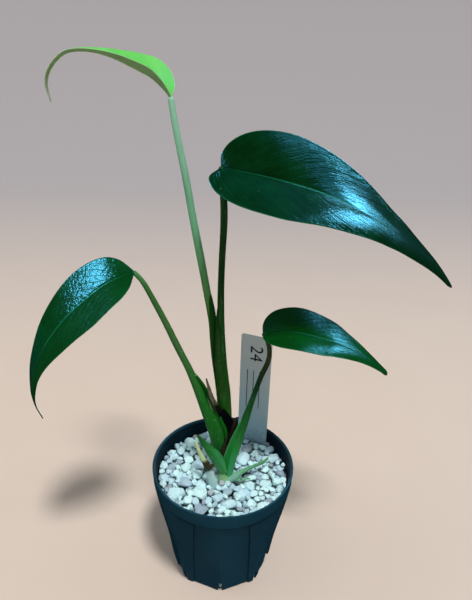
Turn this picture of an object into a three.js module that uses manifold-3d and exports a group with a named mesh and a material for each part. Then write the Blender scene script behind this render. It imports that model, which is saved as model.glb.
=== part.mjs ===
// A young climbing aroid with four leaves, rooted in pumice in a slit pot, with a plant label.
// Millimetres, +Z up. The origin is the centre of the pot's flat underside.
// The plant spreads along X, and -Y is the side that its blades face.

import * as THREE from "three";
import { ConvexGeometry } from "three/addons/geometries/ConvexGeometry.js";
import { mergeVertices } from "three/addons/utils/BufferGeometryUtils.js";
import Module from "manifold-3d";

const wasm = await Module();
wasm.setup();

// Driving dimensions of the pot
const POT_HEIGHT = 84;
const RIM_RADIUS = 45;
const BAND_HEIGHT = 10;
const BAND_LOW_RADIUS = 44.4;
const BODY_TOP_RADIUS = 43.4;
const FOOT_CORNER_RADIUS = 32.6;
const CORNERS = 8;
const PANEL_STEP = 0.9;
const WALL = 1.7;
const RIM_WALL = 1.5;
const FLOOR = 1.5;
// The round wall against the eight-sided one: slimmer than its corners at the foot and at the top
const ROUND_FOOT_SHARE = 0.96;
const CORNER_TOP_SHARE = 1.03;
const PANEL_HALF_ANGLE = { foot: 36, top: 22 };
// How much fuller the side faces are at the foot than flat ones
const SIDE_SWELL = 2;
const PANEL_EDGE_ANGLE = 0.6;
const RIM_SEGMENTS = 56;
const RIM_ROUNDING = 0.3;
const SLIT_WIDTH = 3;
const SLIT_HEIGHT = 10;
const SLIT_INNER_RADIUS = 22;
// Upright fins on the wall, as [azimuth in degrees, lowest height]
const FINS = [[68, 14], [-68, 3]];
const FIN_HEIGHT = 1.1;
const FIN_WIDTH = 0.9;

// Driving dimensions of the planting
const GAP = 0.3;
const PUMICE_LEVEL = 74;
const PUMICE_BUMP = 1.1;
const GRAIN_COUNT = 20;
const LABEL = { width: 20.6, thick: 0.8, length: 110, top: 160, x: 19.6, y: 31, point: 22, turn: -20 };
const BLADE_THICK = 0.5;
const FINEST = 0.02;

const COLOURS = {
  pot: 0x16332f,
  pumice: 0xd9dcd6,
  label: 0xc9ced2,
  crown: 0x8f9a4a,
  root: 0xd8d2b8,
  aerial: 0x6f9a55,
  petiole: 0x2f6b2a,
  youngPetiole: 0x7db07a,
  blade: 0x0f4a2c,
  youngBlade: 0x63c63c,
  dried: 0x2b211c,
  stub: 0x3f8a3c,
  oldStub: 0xd9d49a,
};

// Small helpers

const lerp = THREE.MathUtils.lerp;
const radians = THREE.MathUtils.degToRad;

/** A repeatable stream of numbers between 0 and 1. */
function dice(seed) {
  let state = seed;
  return () => {
    state = (state * 16807) % 2147483647;
    return state / 2147483647;
  };
}

/** Linear reading of an evenly spaced list, at t from 0 to 1. */
function along(list, t) {
  const place = Math.min(Math.max(t, 0), 1) * (list.length - 1);
  const i = Math.min(Math.floor(place), list.length - 2);
  return lerp(list[i], list[i + 1], place - i);
}

/** Cubic Bezier value of four numbers, at t from 0 to 1. */
function ease([a, b, c, d], t) {
  const s = Math.min(Math.max(t, 0), 1);
  const r = 1 - s;
  return a * r * r * r + 3 * b * r * r * s + 3 * c * r * s * s + d * s * s * s;
}

/** A smooth curve through points written as [x, y, z]. */
function curveThrough(points) {
  const vectors = points.map((p) => new THREE.Vector3(...p));
  return new THREE.CatmullRomCurve3(vectors, false, "catmullrom", 0.5);
}

/** Moves every vertex of a geometry by a function of its place. */
function reshape(geometry, move) {
  const position = geometry.attributes.position;
  const v = new THREE.Vector3();
  for (let i = 0; i < position.count; i += 1) {
    v.fromBufferAttribute(position, i);
    move(v);
    position.setXYZ(i, v.x, v.y, v.z);
  }
  return geometry;
}

/** The manifold solid of a closed three.js geometry. */
function solid(geometry) {
  const bare = geometry.clone();
  for (const name of ["normal", "uv"]) {
    bare.deleteAttribute(name);
  }
  const merged = mergeVertices(bare, 1e-3);
  const mesh = new wasm.Mesh({
    numProp: 3,
    vertProperties: new Float32Array(merged.attributes.position.array),
    triVerts: new Uint32Array(merged.index.array),
  });
  return new wasm.Manifold(mesh);
}

/** The largest piece of a solid, which drops crumbs left by a cut. */
function largest(body) {
  const pieces = body.decompose();
  return pieces.reduce((best, piece) => (piece.volume() > best.volume() ? piece : best));
}

/** A solid cut by each of its neighbours. */
function cut(body, neighbours) {
  const rest = neighbours.reduce((left, other) => left.subtract(other), body);
  return largest(rest);
}

const group = new THREE.Group();

/** Adds a finished solid to the model as a named mesh, rid of the finest slivers. */
function add(name, body, colour, roughness) {
  const mesh = body.simplify(FINEST).getMesh();
  const geometry = new THREE.BufferGeometry();
  geometry.setAttribute("position", new THREE.BufferAttribute(new Float32Array(mesh.vertProperties), 3));
  geometry.setIndex(new THREE.BufferAttribute(new Uint32Array(mesh.triVerts), 1));
  geometry.computeVertexNormals();
  const material = new THREE.MeshStandardMaterial({ color: colour, roughness, metalness: 0 });
  const piece = new THREE.Mesh(geometry, material);
  piece.name = name;
  group.add(piece);
}

// Stems: a cylinder bent along a curve, with its own radius at each place

/**
 * points: the centre line. radii: evenly spaced radii from start to end.
 * flat: depth over width. across: the direction that the width lies along.
 * grow: extra size all round, for the clearance that a neighbour needs.
 */
function stem(points, radii, { flat = 1, across = [1, 0, 0], sides = 10, steps = 14, grow = 0 } = {}) {
  const curve = curveThrough(points);
  const side = new THREE.Vector3(...across);
  const rod = new THREE.CylinderGeometry(1, 1, 1, sides, steps);
  reshape(rod, (v) => {
    const t = v.y + 0.5;
    const tangent = curve.getTangentAt(t);
    const wide = side.clone().addScaledVector(tangent, -side.dot(tangent)).normalize();
    const deep = wide.clone().cross(tangent);
    const radius = along(radii, t);
    const centre = curve.getPointAt(t).addScaledVector(tangent, (2 * t - 1) * grow);
    const x = v.x * (radius + grow);
    const z = v.z * (radius * flat + grow);
    v.copy(centre).addScaledVector(wide, x).addScaledVector(deep, z);
  });
  return solid(rod);
}

// Leaf blades: a thin sheet of leaf outline, bent along its midrib

// How far along the blade each outline point lies, and how far a lobe there reaches back
const OUTLINE_ALONG = [0, 0.01, 0.04, 0.1, 0.19, 0.3, 0.48, 0.66, 0.82, 0.93, 0.98, 1];
const LOBE_SHARE = [0, 1, 1, 0.6, 0.2, 0, 0, 0, 0, 0, 0, 0];

/** The edge of half a blade, as a curve of (share of length, share of width). */
function edgeCurve(half, lobe) {
  const points = half.map((width, i) => [OUTLINE_ALONG[i] - lobe * LOBE_SHARE[i], width, 0]);
  return curveThrough(points);
}

/**
 * midrib: centre line from petiole to tip. nearHalf, farHalf: half widths at the outline points,
 * as shares of the blade's width, for the half towards -Y and the half towards +Y.
 * near, far: slope of those halves in degrees, down on the near side and up on the far side,
 * as four Bezier values from base to tip. nearCurl, farCurl: their bend from midrib to edge.
 */
function blade(spec, thick) {
  const { midrib, width, nearHalf, farHalf, near, far, nearCurl, farCurl, lobes } = spec;
  const curve = curveThrough(midrib);
  const length = curve.getLength();
  const leftward = midrib.at(-1)[0] < midrib[0][0] ? 1 : -1;
  const edges = { near: edgeCurve(nearHalf, lobes[0]), far: edgeCurve(farHalf, lobes[1]) };
  const front = new THREE.Vector3(0, -1, 0);
  const bendSteps = 8;

  function place(u, v, lift) {
    const isNear = v >= 0;
    const reach = Math.abs(v);
    const edge = (isNear ? edges.near : edges.far).getPoint(u);
    const share = lerp(u, edge.x, reach);
    const onRib = Math.min(Math.max(share, 0), 1);
    const tangent = curve.getTangentAt(onRib);
    const point = curve.getPointAt(onRib).addScaledVector(tangent, (share - onRib) * length);
    const level = front.clone().addScaledVector(tangent, -front.dot(tangent)).normalize();
    const up = tangent.clone().cross(level).multiplyScalar(leftward);
    const slope = ease(isNear ? near : far, share);
    const bend = ease(isNear ? nearCurl : farCurl, share);
    const step = (edge.y * width * reach) / bendSteps;
    let angle = 0;
    let out = 0;
    let down = 0;
    for (let i = 0; i < bendSteps; i += 1) {
      angle = radians(slope - bend / 2 + (bend * reach * (i + 0.5)) / bendSteps);
      out += step * Math.cos(angle);
      down += step * Math.sin(angle);
    }
    const sign = isNear ? 1 : -1;
    point.addScaledVector(level, sign * out).addScaledVector(up, -sign * down);
    const tilt = reach > 0.01 ? angle : radians((near[0] + far[0]) / 2);
    const normal = up.clone().multiplyScalar(Math.cos(tilt)).addScaledVector(level, Math.sin(tilt));
    return point.addScaledVector(normal, lift * thick);
  }

  const sheet = new THREE.BoxGeometry(1, 1, 1, 22, 8, 1);
  reshape(sheet, (v) => v.copy(place(v.x + 0.5, v.y * 2, leftward * v.z)));
  return solid(sheet);
}

// Pot

/** Radius of the pot's octagon at an angle, with a corner at angle 0. */
function octagonRadius(angle, corner) {
  const sector = (2 * Math.PI) / CORNERS;
  const fromCorner = ((angle % sector) + sector) % sector;
  return (corner * Math.cos(sector / 2)) / Math.cos(fromCorner - sector / 2);
}

/** Radius of the pot's wall, round under the band and eight-sided at the foot. */
function wallRadius(angle, z) {
  const t = z / (POT_HEIGHT - BAND_HEIGHT);
  const round = lerp(FOOT_CORNER_RADIUS * ROUND_FOOT_SHARE, BODY_TOP_RADIUS, t);
  const sided = octagonRadius(angle, lerp(FOOT_CORNER_RADIUS, BODY_TOP_RADIUS * CORNER_TOP_SHARE, t));
  const onSideFace = Math.sin(4 * angle) ** 2 * Math.sin(angle) ** 4;
  const swell = SIDE_SWELL * onSideFace * (1 - THREE.MathUtils.smoothstep(t, 0.05, 0.6));
  return lerp(sided, round, THREE.MathUtils.smoothstep(t, 0.1, 0.9)) + swell;
}

/** Half the angle of a sunken panel, which widens towards the foot. */
function panelHalfAngle(z) {
  const share = z / (POT_HEIGHT - BAND_HEIGHT);
  return radians(lerp(PANEL_HALF_ANGLE.foot, PANEL_HALF_ANGLE.top, share));
}

/** A solid whose wall follows the pot, with sunken panels when step is above 0. */
function potShape(bottom, top, inset, step, rings) {
  const panelSegments = 6;
  const slope = radians(PANEL_EDGE_ANGLE);
  const perQuarter = 2 * panelSegments + 2;
  const drum = new THREE.CylinderGeometry(1, 1, 1, 4 * perQuarter, rings);
  reshape(drum, (v) => {
    const z = lerp(bottom, top, v.y + 0.5);
    const spot = Math.hypot(v.x, v.z);
    if (spot < 0.5) {
      v.set(0, 0, z);
      return;
    }
    const count = Math.round((Math.atan2(v.x, v.z) / (2 * Math.PI)) * 4 * perQuarter);
    const quarter = Math.floor((count + panelSegments / 2) / perQuarter);
    const place = count + panelSegments / 2 - quarter * perQuarter;
    const half = panelHalfAngle(z);
    const sunk = place <= panelSegments;
    const shareSunk = place / panelSegments;
    const shareProud = (place - panelSegments - 1) / panelSegments;
    const proudHalf = Math.PI / 4 - half - slope;
    const local = sunk ? lerp(-half, half, shareSunk) : Math.PI / 4 + lerp(-proudHalf, proudHalf, shareProud);
    const angle = (quarter * Math.PI) / 2 + local;
    const radius = wallRadius(angle, z) - inset - (sunk ? step : 0);
    v.set(radius * Math.sin(angle), -radius * Math.cos(angle), z);
  });
  return solid(drum);
}

/** A round ring of revolution from a closed list of [radius, z]. */
function turned(profile, segments) {
  const lathe = new THREE.LatheGeometry(profile.map(([r, z]) => new THREE.Vector2(r, z)), segments);
  lathe.rotateX(Math.PI / 2);
  return solid(lathe);
}

/** One slit: a slot with a round top that runs through the wall and into the floor. */
function slit(index) {
  const outline = new THREE.Shape();
  const r = SLIT_WIDTH / 2;
  outline.moveTo(-r, -1);
  outline.lineTo(r, -1);
  outline.lineTo(r, SLIT_HEIGHT - r);
  outline.absarc(0, SLIT_HEIGHT - r, r, 0, Math.PI, false);
  outline.lineTo(-r, -1);
  const depth = RIM_RADIUS - SLIT_INNER_RADIUS;
  const slot = new THREE.ExtrudeGeometry(outline, { depth, bevelEnabled: false, curveSegments: 5 });
  slot.translate(0, 0, SLIT_INNER_RADIUS);
  slot.rotateX(Math.PI / 2);
  slot.rotateZ((index * 2 * Math.PI) / CORNERS);
  return solid(slot);
}

/** One fin: a thin straight rib that follows the slope of the wall up to the band. */
function fin([azimuth, low]) {
  const turn = radians(azimuth);
  const points = [];
  for (const z of [low, POT_HEIGHT - BAND_HEIGHT + 0.5]) {
    const wall = wallRadius(turn, z);
    for (const radius of [wall - 1.2, wall + FIN_HEIGHT]) {
      for (const side of [-FIN_WIDTH / 2, FIN_WIDTH / 2]) {
        points.push(new THREE.Vector3(side, -radius, z));
      }
    }
  }
  const rib = new ConvexGeometry(points);
  rib.rotateZ(turn);
  return solid(rib);
}

function slitPot() {
  const bandFoot = POT_HEIGHT - BAND_HEIGHT;
  const body = potShape(0, bandFoot + 1, 0, PANEL_STEP, 5);
  const band = turned(
    [
      [RIM_RADIUS - RIM_WALL - 2, bandFoot],
      [BAND_LOW_RADIUS, bandFoot],
      [RIM_RADIUS - RIM_ROUNDING, POT_HEIGHT - 2 * RIM_ROUNDING],
      [RIM_RADIUS, POT_HEIGHT - RIM_ROUNDING],
      [RIM_RADIUS - RIM_ROUNDING, POT_HEIGHT],
      [RIM_RADIUS - RIM_WALL, POT_HEIGHT],
      [RIM_RADIUS - RIM_WALL - 2, bandFoot],
    ],
    RIM_SEGMENTS,
  );
  const hollow = potShape(FLOOR, bandFoot, WALL, 0, 4);
  const mouth = turned(
    [
      [0, bandFoot - 1],
      [BODY_TOP_RADIUS - WALL - 0.2, bandFoot - 1],
      [RIM_RADIUS - RIM_WALL, POT_HEIGHT + 1],
      [0, POT_HEIGHT + 1],
    ],
    RIM_SEGMENTS,
  );
  const ribbed = FINS.reduce((left, spec) => left.add(fin(spec)), body.add(band));
  let pot = ribbed.subtract(hollow).subtract(mouth);
  for (let i = 0; i < CORNERS; i += 1) {
    pot = pot.subtract(slit(i));
  }
  return largest(pot);
}

// Plant: centre lines, from the crown outwards

const CROWN_PATH = [[1.2, -7.2, 64], [1.2, -7.3, 76], [1.4, -5.8, 86], [1.4, -1.5, 97], [1.1, 2, 107], [1, 4, 113]];
const CROWN_RADII = [4.4, 4.6, 3.7, 4, 4, 3.8];

const PETIOLES = {
  a: {
    path: [[3.3, -8.2, 80], [6.3, -7.5, 97], [8.9, -6.8, 108.6], [12.8, -5.7, 124], [16.7, -4.4, 139],
      [20.7, -3, 153], [24.4, -2, 163], [25, -1.2, 170], [23.6, -0.4, 176], [21.2, 0.2, 180.6]],
    radii: [2.5, 2.8, 2.8, 2.2, 1.7, 1.5, 1.5, 1.5, 1.3, 1.1],
  },
  b: {
    path: [[-4.4, -0.2, 95], [-7.9, 0.7, 114], [-12, 1, 128], [-16.1, 0.9, 141], [-20.9, 0.6, 154.6],
      [-27.4, 0.2, 170.7], [-34.5, 0, 188.3], [-42.8, 0, 207], [-46.2, 0, 213.2], [-49.6, 0.2, 217.2]],
    radii: [2.6, 3.3, 3, 2.5, 2.1, 1.9, 1.7, 1.6, 1.5, 1.3],
  },
  c: {
    path: [[1.6, 3.8, 116], [0.6, 3.6, 131.7], [-1.1, 3.2, 156], [-2.7, 2.4, 181], [-3.3, 2, 201],
      [-3.1, 1.5, 222], [-2.4, 1, 246], [-2.9, 0.8, 262], [-4.2, 0.6, 274.6]],
    radii: [2.4, 2.5, 2.2, 2, 1.9, 1.75, 1.8, 1.85, 1.5],
  },
  d: {
    path: [[-0.6, 7.2, 113.6], [-2.4, 7.2, 135], [-5.3, 7, 157], [-8.2, 6.8, 185], [-10.3, 6.6, 198.5],
      [-13.8, 6.5, 219], [-18.2, 6.8, 244], [-22.5, 7.1, 270], [-26.4, 7.5, 290], [-28.9, 8, 305.6]],
    radii: [2, 2.1, 2.1, 2.1, 2.1, 2.05, 1.95, 1.8, 1.6, 1.3],
  },
};

// The sheath wings at the foot of three petioles
const SHEATHS = {
  a: { path: [[3.4, -7.9, 81], [5.4, -7.2, 95], [7.6, -6.3, 108], [9.8, -5.6, 119]], radii: [2.6, 3.2, 2.6, 0.7] },
  b: {
    path: [[-4.1, -1, 97], [-6, -0.2, 110], [-9.3, 0.8, 125], [-13.6, 1.1, 138.6], [-18, 1, 149.6]],
    radii: [2.6, 3.9, 4.2, 3.7, 1.4],
  },
  c: {
    path: [[1.2, 4.5, 113.6], [-0.2, 4.3, 132], [-2.3, 4, 152], [-3.9, 3.6, 175], [-4.9, 3.1, 200]],
    radii: [3.6, 4.4, 4.3, 4, 2.2],
  },
};

const BLADES = {
  a: {
    midrib: [[20.7, 0, 180.3], [38, -3, 184], [55, -6, 182], [63, -7.5, 180], [72.5, -9, 176],
      [81, -10.5, 171], [91, -12, 163.5]],
    width: 32,
    nearHalf: [0.006, 0.13, 0.265, 0.39, 0.475, 0.49, 0.41, 0.255, 0.128, 0.062, 0.045, 0.02],
    farHalf: [0.006, 0.19, 0.335, 0.445, 0.495, 0.5, 0.42, 0.27, 0.148, 0.08, 0.05, 0.02],
    near: [-5, 11, 19, 23], far: [34, 33, 23, 18],
    nearCurl: [20, 20, 70, 30], farCurl: [-25, -50, 90, 40], lobes: [0, 0.01],
  },
  b: {
    midrib: [[-49.5, 0, 218], [-63, -4, 213], [-76, -7, 203.5], [-87.5, -10, 192.5], [-98.5, -13, 178],
      [-106, -14, 162], [-109, -14, 147], [-108.5, -14, 138], [-105.5, -14, 129]],
    width: 40,
    nearHalf: [0.006, 0.13, 0.275, 0.405, 0.485, 0.5, 0.405, 0.24, 0.13, 0.075, 0.062, 0.028],
    farHalf: [0.006, 0.14, 0.28, 0.405, 0.485, 0.5, 0.415, 0.265, 0.145, 0.098, 0.072, 0.03],
    near: [20, 30, 33, 40], far: [36, 40, 27, 27],
    nearCurl: [0, 0, 10, 20], farCurl: [-10, 0, 0, 0], lobes: [-0.01, -0.01],
  },
  c: {
    midrib: [[-4.5, 0, 275.2], [16, -2, 272], [35.5, -3, 267.5], [51, -5, 263], [68, -8, 256],
      [80.5, -10, 249], [91, -12, 242.3], [105, -13, 231], [115.3, -14, 220]],
    width: 52,
    nearHalf: [0.006, 0.14, 0.285, 0.41, 0.485, 0.5, 0.415, 0.265, 0.142, 0.07, 0.04, 0.015],
    farHalf: [0.006, 0.14, 0.285, 0.412, 0.49, 0.503, 0.418, 0.27, 0.158, 0.095, 0.06, 0.025],
    near: [34, 17, 20, 40], far: [61, 45, 22, 15],
    nearCurl: [20, 20, 85, 20], farCurl: [-30, -60, 120, 20], lobes: [0.042, 0.016],
  },
  d: {
    midrib: [[-28.6, 8, 306.2], [-32, 10.5, 309.3], [-38, 12, 314.2], [-45, 13, 317.4], [-52.5, 14.5, 320.5],
      [-60, 16, 322.9], [-67, 17, 324.1], [-74, 18, 324], [-79.7, 19.5, 322.5], [-85.1, 21, 318.4],
      [-89.1, 22, 313.1], [-90.9, 23.5, 307], [-90.8, 26, 299.3]],
    width: 26,
    nearHalf: [0.006, 0.1, 0.2, 0.31, 0.44, 0.35, 0.145, 0.105, 0.08, 0.05, 0.032, 0.012],
    farHalf: [0.006, 0.13, 0.265, 0.4, 0.47, 0.41, 0.165, 0.075, 0.07, 0.05, 0.032, 0.012],
    near: [-26, -22, -30, -30], far: [50, 20, 16, 55],
    nearCurl: [0, 0, 0, 0], farCurl: [0, 0, 0, 0], lobes: [0, -0.02],
  },
};

const CUT_STUB = {
  path: [[1.2, -8.6, 84], [-2.6, -8, 92.5], [-7.1, -6.8, 98.3], [-12.7, -5.8, 104.8], [-16.7, -5, 110.4]],
  radii: [3.6, 4.1, 3.2, 1.6, 0.7],
};
const OLD_STUB = {
  path: [[-5.6, -11.4, 68], [-6.3, -11, 76], [-8, -10.4, 84], [-11, -9.7, 92], [-14.7, -9, 100.2],
    [-17, -8.4, 108.6]],
  radii: [3, 3.1, 2.6, 1.9, 1.3, 0.6],
};
const AERIAL_ROOT = {
  path: [[3.5, -10.2, 78.4], [7.7, -9.6, 80.6], [12.1, -8, 83.2], [18.6, -4, 83.2], [25.1, 0.8, 83],
    [29.5, 3, 86]],
  radii: [2.1, 1.9, 1.3, 1, 0.9, 0.5],
};
const DRIED_SHEATH = {
  path: [[1.4, -4.4, 98], [1.6, -4, 106], [0.4, -3.2, 117], [-3.2, -2.6, 129], [-7.5, -2.3, 139.8],
    [-11.4, -2, 150.8]],
  radii: [3, 4.2, 3.6, 1.7, 1.2, 0.5],
};
const DRIED_CURL = {
  path: [[3.4, -2.6, 108], [5, -2.6, 114], [5.8, -2.8, 119.5], [6.2, -3, 124.6], [7.4, -3.2, 125.6]],
  radii: [1.4, 1.2, 0.9, 0.9, 0.5],
};

const ROOT_PATHS = [
  [[1.5, -8, 70], [2, -14, 62], [4, -21, 50], [8, -25, 32], [6, -25, 14]],
  [[1.5, -2, 70], [0, 5, 62], [-6, 14, 50], [-10, 21, 32], [-6, 24, 13]],
  [[-2, -5, 70], [-8, -6, 62], [-17, -9, 50], [-23, -9, 32], [-21, -3, 13]],
  [[5, -5, 70], [11, -5, 62], [19, -4, 50], [24, 1, 32], [21, 6, 13]],
  [[1.5, -5, 66], [1, -4, 50], [-2, 0, 36], [2, 4, 22], [6, 2, 9]],
];
const ROOT_RADII = [1.7, 1.6, 1.4, 1.2, 0.7];

/** A petiole with its sheath wing, made larger all round by grow. */
function petiole(letter, grow = 0) {
  const { path, radii } = PETIOLES[letter];
  const rod = stem(path, radii, { sides: 10, steps: 20, grow });
  const wing = SHEATHS[letter];
  return wing ? rod.add(stem(wing.path, wing.radii, { flat: 0.8, sides: 12, steps: 8, grow })) : rod;
}

const crown = (grow = 0) => stem(CROWN_PATH, CROWN_RADII, { sides: 14, steps: 8, grow });
const cutStub = (grow = 0) => stem(CUT_STUB.path, CUT_STUB.radii, { flat: 0.75, steps: 8, grow });
const oldStub = (grow = 0) => stem(OLD_STUB.path, OLD_STUB.radii, { flat: 0.8, steps: 10, grow });
const driedSheath = (grow = 0) => stem(DRIED_SHEATH.path, DRIED_SHEATH.radii, { flat: 0.35, steps: 10, grow });
const driedCurl = (grow = 0) => stem(DRIED_CURL.path, DRIED_CURL.radii, { flat: 0.6, sides: 8, steps: 8, grow });
const aerialRoot = (grow = 0) =>
  stem(AERIAL_ROOT.path, AERIAL_ROOT.radii, { across: [0, 1, 0], sides: 8, steps: 12, grow });
const root = (path, grow = 0) => stem(path, ROOT_RADII, { sides: 8, steps: 8, grow });

// Label: a flat strip with a pointed foot, standing in the pumice behind the plant

function label(grow = 0) {
  const half = LABEL.width / 2 + grow;
  const low = LABEL.top - LABEL.length - grow;
  const high = LABEL.top + grow;
  const outline = new THREE.Shape();
  outline.moveTo(-half, high);
  outline.lineTo(-half, low + LABEL.point);
  outline.lineTo(-2, low);
  outline.lineTo(2, low);
  outline.lineTo(half, low + LABEL.point);
  outline.lineTo(half, high);
  const depth = LABEL.thick + 2 * grow;
  const strip = new THREE.ExtrudeGeometry(outline, { depth, bevelEnabled: false });
  strip.translate(0, 0, -depth / 2);
  strip.rotateX(Math.PI / 2);
  strip.rotateZ(radians(LABEL.turn));
  strip.translate(LABEL.x, LABEL.y, 0);
  return solid(strip);
}

// Pumice: angular grains on a bed that fills the pot

/** A rough field of small heights over the pumice, between -1 and 1. */
function roughness(x, y) {
  const a = Math.sin(x * 0.9 + 1.3 * Math.sin(y * 0.53));
  const b = Math.sin(y * 0.83 + 1.7 * Math.sin(x * 0.47) + 2);
  return (a + b) / 2;
}

/** An angular stone: the convex hull of a few points on a squashed ball. */
function grain({ centre, size, seed }, scale = 1) {
  const roll = dice(seed);
  const points = [];
  const corners = 13;
  for (let i = 0; i < corners; i += 1) {
    const height = 1 - (2 * (i + 0.5)) / corners;
    const turn = i * 2.4 + roll() * 0.8;
    const reach = size * (0.85 + 0.3 * roll());
    const level = Math.sqrt(1 - height * height);
    const point = new THREE.Vector3(Math.cos(turn) * level, Math.sin(turn) * level * 0.8, height * 0.7);
    points.push(point.multiplyScalar(reach * scale));
  }
  const stone = new ConvexGeometry(points);
  stone.rotateZ(roll() * Math.PI);
  stone.rotateX((roll() - 0.5) * 0.9);
  stone.translate(...centre);
  return solid(stone);
}

/** Grains laid out on a sunflower spiral over the bed, clear of the crown and the label. */
function grainPlaces() {
  const roll = dice(41);
  const places = [];
  const goldenAngle = Math.PI * (3 - Math.sqrt(5));
  for (let i = 8; places.length < GRAIN_COUNT && i < 60; i += 1) {
    const radius = 5.6 * Math.sqrt(i);
    const turn = i * goldenAngle;
    const x = radius * Math.cos(turn);
    const y = radius * Math.sin(turn);
    const size = 2.9 + 1.2 * roll();
    const nearCrown = Math.hypot(x + 1, y + 8) < 14;
    const nearLabel = Math.abs(x - LABEL.x) < LABEL.width / 2 + 5 && Math.abs(y - LABEL.y) < 9;
    const nearRoot = x > 0 && x < 34 && Math.abs(y + 10 - 0.5 * x) < 7;
    const nearWall = radius + size > 39;
    if (!nearCrown && !nearLabel && !nearRoot && !nearWall) {
      places.push({ centre: [x, y, PUMICE_LEVEL + 0.9], size, seed: 900 + i * 37 });
    }
  }
  return places;
}

function pumiceBed(sockets) {
  const rings = 10;
  const top = [];
  const edge = BODY_TOP_RADIUS - WALL - 1.2;
  for (let i = 0; i <= rings; i += 1) {
    top.push(new THREE.Vector2(edge * (1 - i / rings), PUMICE_LEVEL));
  }
  const column = new THREE.LatheGeometry([new THREE.Vector2(0, 0), new THREE.Vector2(edge, 0), ...top], 36);
  column.rotateX(Math.PI / 2);
  reshape(column, (v) => {
    const radius = Math.hypot(v.x, v.y);
    if (v.z > PUMICE_LEVEL / 2 && radius < edge - 0.1) {
      v.z += PUMICE_BUMP * roughness(v.x, v.y);
    }
  });
  const filling = potShape(FLOOR + GAP, PUMICE_LEVEL + 3, WALL + GAP, 0, 4);
  return cut(solid(column).intersect(filling), sockets);
}

// Assembly

const MATTE = 0.9;
const SATIN = 0.5;
const GLOSSY = 0.25;

add("slit_pot", slitPot(), COLOURS.pot, SATIN);
add("plant_label", label(), COLOURS.label, SATIN);

const grains = grainPlaces();
grains.forEach((spec, i) => {
  add(`pumice_grain_${String(i + 1).padStart(2, "0")}`, grain(spec), COLOURS.pumice, MATTE);
});

const roots = ROOT_PATHS.map((path, i) => {
  const body = cut(root(path), [crown(GAP)]);
  add(`root_${i + 1}`, body, COLOURS.root, MATTE);
  return root(path, GAP);
});

add("crown_stem", crown(), COLOURS.crown, SATIN);
add("aerial_root", cut(aerialRoot(), [crown(GAP), petiole("a", GAP)]), COLOURS.aerial, SATIN);

const thickBlade = (letter) => blade(BLADES[letter], BLADE_THICK + 2 * GAP);
const cutStubBody = cut(cutStub(), [crown(GAP), petiole("a", GAP)]);
const oldStubBody = cut(oldStub(), [crown(GAP), cutStub(GAP)]);
add("cut_petiole_stub", cutStubBody, COLOURS.stub, SATIN);
add("old_sheath_stub", oldStubBody, COLOURS.oldStub, SATIN);

const petioleCuts = {
  a: [crown(GAP), thickBlade("a")],
  b: [crown(GAP), petiole("a", GAP), cutStub(GAP), thickBlade("b")],
  c: [crown(GAP), petiole("d", GAP), petiole("b", GAP), thickBlade("c")],
  d: [crown(GAP), thickBlade("d")],
};
for (const [letter, neighbours] of Object.entries(petioleCuts)) {
  const colour = letter === "d" ? COLOURS.youngPetiole : COLOURS.petiole;
  add(`petiole_${letter}`, cut(petiole(letter), neighbours), colour, SATIN);
}

const around = [crown(GAP), petiole("a", GAP), petiole("b", GAP), petiole("c", GAP), cutStub(GAP)];
add("dried_sheath", cut(driedSheath(), around), COLOURS.dried, MATTE);
add("dried_curl", cut(driedCurl(), [...around, driedSheath(GAP)]), COLOURS.dried, MATTE);

for (const [letter, spec] of Object.entries(BLADES)) {
  const colour = letter === "d" ? COLOURS.youngBlade : COLOURS.blade;
  add(`blade_${letter}`, blade(spec, BLADE_THICK), colour, GLOSSY);
}

const sockets = [crown(GAP), oldStub(GAP), aerialRoot(GAP), petiole("a", GAP), cutStub(GAP), label(GAP), ...roots];
const dimples = grains.map((spec) => grain(spec, 1 + (1.3 * GAP) / spec.size));
add("pumice_bed", pumiceBed([...sockets, ...dimples]), COLOURS.pumice, MATTE);

export default group;
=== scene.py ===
# A young climbing aroid with four leaves, rooted in pumice in a small slit pot, with a plain plant label.
# Shapes are worked out in millimetres, +Z up, from the middle of the pot's underside.

import math

import bmesh
import bpy
import numpy as np
from mathutils import Matrix, Vector, noise


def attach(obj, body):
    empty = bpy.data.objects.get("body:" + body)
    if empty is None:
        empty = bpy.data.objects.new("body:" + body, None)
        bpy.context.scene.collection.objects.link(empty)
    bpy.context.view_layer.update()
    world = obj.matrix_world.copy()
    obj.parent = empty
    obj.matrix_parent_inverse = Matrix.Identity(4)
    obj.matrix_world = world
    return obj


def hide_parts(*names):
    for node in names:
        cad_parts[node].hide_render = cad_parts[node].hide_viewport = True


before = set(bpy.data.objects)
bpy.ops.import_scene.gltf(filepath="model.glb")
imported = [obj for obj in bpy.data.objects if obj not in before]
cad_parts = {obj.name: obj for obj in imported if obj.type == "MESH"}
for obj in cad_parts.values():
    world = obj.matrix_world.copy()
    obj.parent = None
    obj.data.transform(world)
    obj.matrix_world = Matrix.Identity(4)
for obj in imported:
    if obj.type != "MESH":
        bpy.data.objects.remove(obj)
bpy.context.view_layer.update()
MM = 0.001

# Driving dimensions of the pot

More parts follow.
